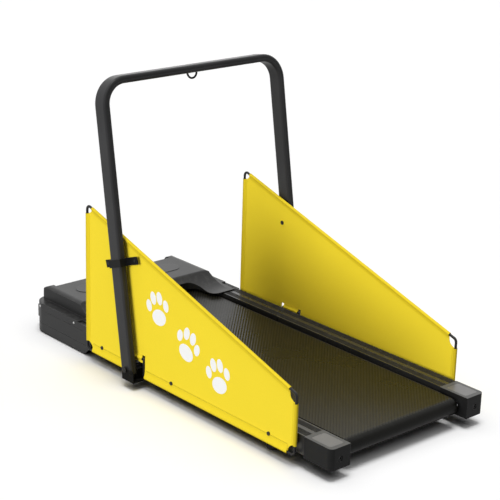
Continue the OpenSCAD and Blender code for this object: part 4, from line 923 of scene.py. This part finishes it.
    def build_hems(self) -> bpy.types.Object:
        """Builds the sleeves round the rod, each with its flat hem, in darker copies of the cloth that carry painted
        shade.
        """
        bm = bmesh.new()
        for start, end, inward, width in self.runs():
            profile = self.hem_profile(width)
            length = (end - start).length
            count = max(2, round(length / self.hem_cell))
            rings = []
            for i in range(count + 1):
                centre = start.lerp(end, i / count)
                ring = []
                for along, off in profile:
                    spot = centre + inward * along
                    lift = self.swell(spot.x, spot.y) if along > self.sleeve else 0.0
                    ring.append(bm.verts.new((spot.x, self.side.value * (self.plane_y + lift + off), spot.y)))
                rings.append(ring)
            for one, two in zip(rings, rings[1:]):
                for j, k in zip(range(len(profile)), [*range(1, len(profile)), 0]):
                    face = bm.faces.new((one[j], one[k], two[k], two[j]))
                    face.material_index = int(profile[j][0] <= self.sleeve and profile[k][0] <= self.sleeve)
        hems = new_piece(f"hems_{self.side.word}", bm, SHADED_HEM_CLOTH, "frame")
        hems.data.materials.append(SHADED_SLEEVE_CLOTH.material())
        return hems

    def build_stitches(self) -> bpy.types.Object:
        """Builds the rows of stitches along the lower hems, on both faces."""
        bm = bmesh.new()
        inset = self.low_hem_width - self.stitch_inset
        for start, end, inward, width in self.runs():
            if width < self.low_hem_width:
                continue
            way = (end - start).normalized()
            count = int((end - start).length / self.stitch_pitch)
            for i in range(1, count):
                spot = start + way * (i * self.stitch_pitch) + inward * inset
                for face in (-1, 1):
                    self.add_stitch(bm, spot, way, inward, face)
        return new_piece(f"stitches_{self.side.word}", bm, THREAD, "frame")

    def add_stitch(self, bm: bmesh.types.BMesh, spot: Vector, way: Vector, inward: Vector, face: int) -> None:
        """Adds one stitch, a low rounded dash.

        Args:
            bm: The mesh that takes it.
            spot: Its middle in the X-Z plane.
            way: Its direction.
            inward: The direction across it.
            face: The side of the cloth, -1 or 1.
        """
        half = self.stitch_length / 2
        wide, rise = self.stitch_half, self.stitch_rise
        base = self.plane_y + self.swell(spot.x, spot.y) + face * self.hem_half
        shape = [(-half, 0.0, 0.0), (0.0, -wide, 0.0), (half, 0.0, 0.0), (0.0, wide, 0.0), (-half / 2, 0.0, rise),
                 (half / 2, 0.0, rise)]
        verts = []
        for along, across, lift in shape:
            flat = spot + way * along + inward * across
            verts.append(bm.verts.new((flat.x, self.side.value * (base + face * lift), flat.y)))
        for loop in ((0, 1, 4), (1, 5, 4), (1, 2, 5), (2, 3, 5), (3, 4, 5), (3, 0, 4)):
            bm.faces.new([verts[i] for i in loop])

    def build_print(self) -> bpy.types.Object:
        """Builds the printed trail of paw marks on the outer face."""
        bm = bmesh.new()
        marks = ((-0.02, 0.275, 14.0, 1.2), (0.12, 0.205, -16.0, 1.2), (0.262, 0.155, 14.0, 1.2))
        pads = ((0.0, -0.018, 0.027, 0.021), (-0.034, 0.012, 0.0105, 0.0155), (-0.0125, 0.031, 0.011, 0.017),
                (0.0125, 0.031, 0.011, 0.017), (0.034, 0.012, 0.0105, 0.0155))
        for x, z, turn, size in marks:
            angle = math.radians(turn)
            for along, up, wide, tall in pads:
                self.add_pad(bm, (x, z), angle, (along * size, up * size), (wide * size, tall * size))
        return new_piece(f"print_{self.side.word}", bm, PRINT_WHITE, "frame")

    def add_pad(self, bm: bmesh.types.BMesh, centre: Point, angle: float, offset: Point, size: Point) -> None:
        """Adds one oval of print that lies on the cloth.

        Args:
            bm: The mesh that takes it.
            centre: Middle of the mark.
            angle: Turn of the mark.
            offset: Place of the oval in the mark.
            size: Half width and half height of the oval.
        """
        rings, steps = self.pad_rings, self.pad_steps
        lift = self.cloth / 2 + self.print_lift
        turn = Matrix.Rotation(angle, 2)
        rows = []
        for r in range(1, rings + 1):
            row = []
            for s in range(steps):
                t = 2 * math.pi * s / steps
                local = Vector((offset[0] + size[0] * r / rings * math.cos(t),
                                offset[1] + size[1] * r / rings * math.sin(t)))
                flat = turn @ local
                row.append(bm.verts.new(self.point(centre[0] + flat.x, centre[1] + flat.y, lift)))
            rows.append(row)
        bm.faces.new(rows[0])
        for one, two in zip(rows, rows[1:]):
            for j in range(steps):
                k = (j + 1) % steps
                bm.faces.new((one[j], one[k], two[k], two[j]))


def main() -> None:
    """Loads the frame and builds the looks in order."""
    logging.basicConfig(level=logging.INFO, format="%(name)s: %(message)s")
    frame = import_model()
    bpy.context.scene.view_settings.view_transform = "Standard"
    studio = Studio()
    studio.build()
    SolidParts(frame["record"], frame["nodes"]).dress()
    for side in Side:
        SidePanel(side).build()
    studio.fill_all()


if __name__ == "__main__":
    main()
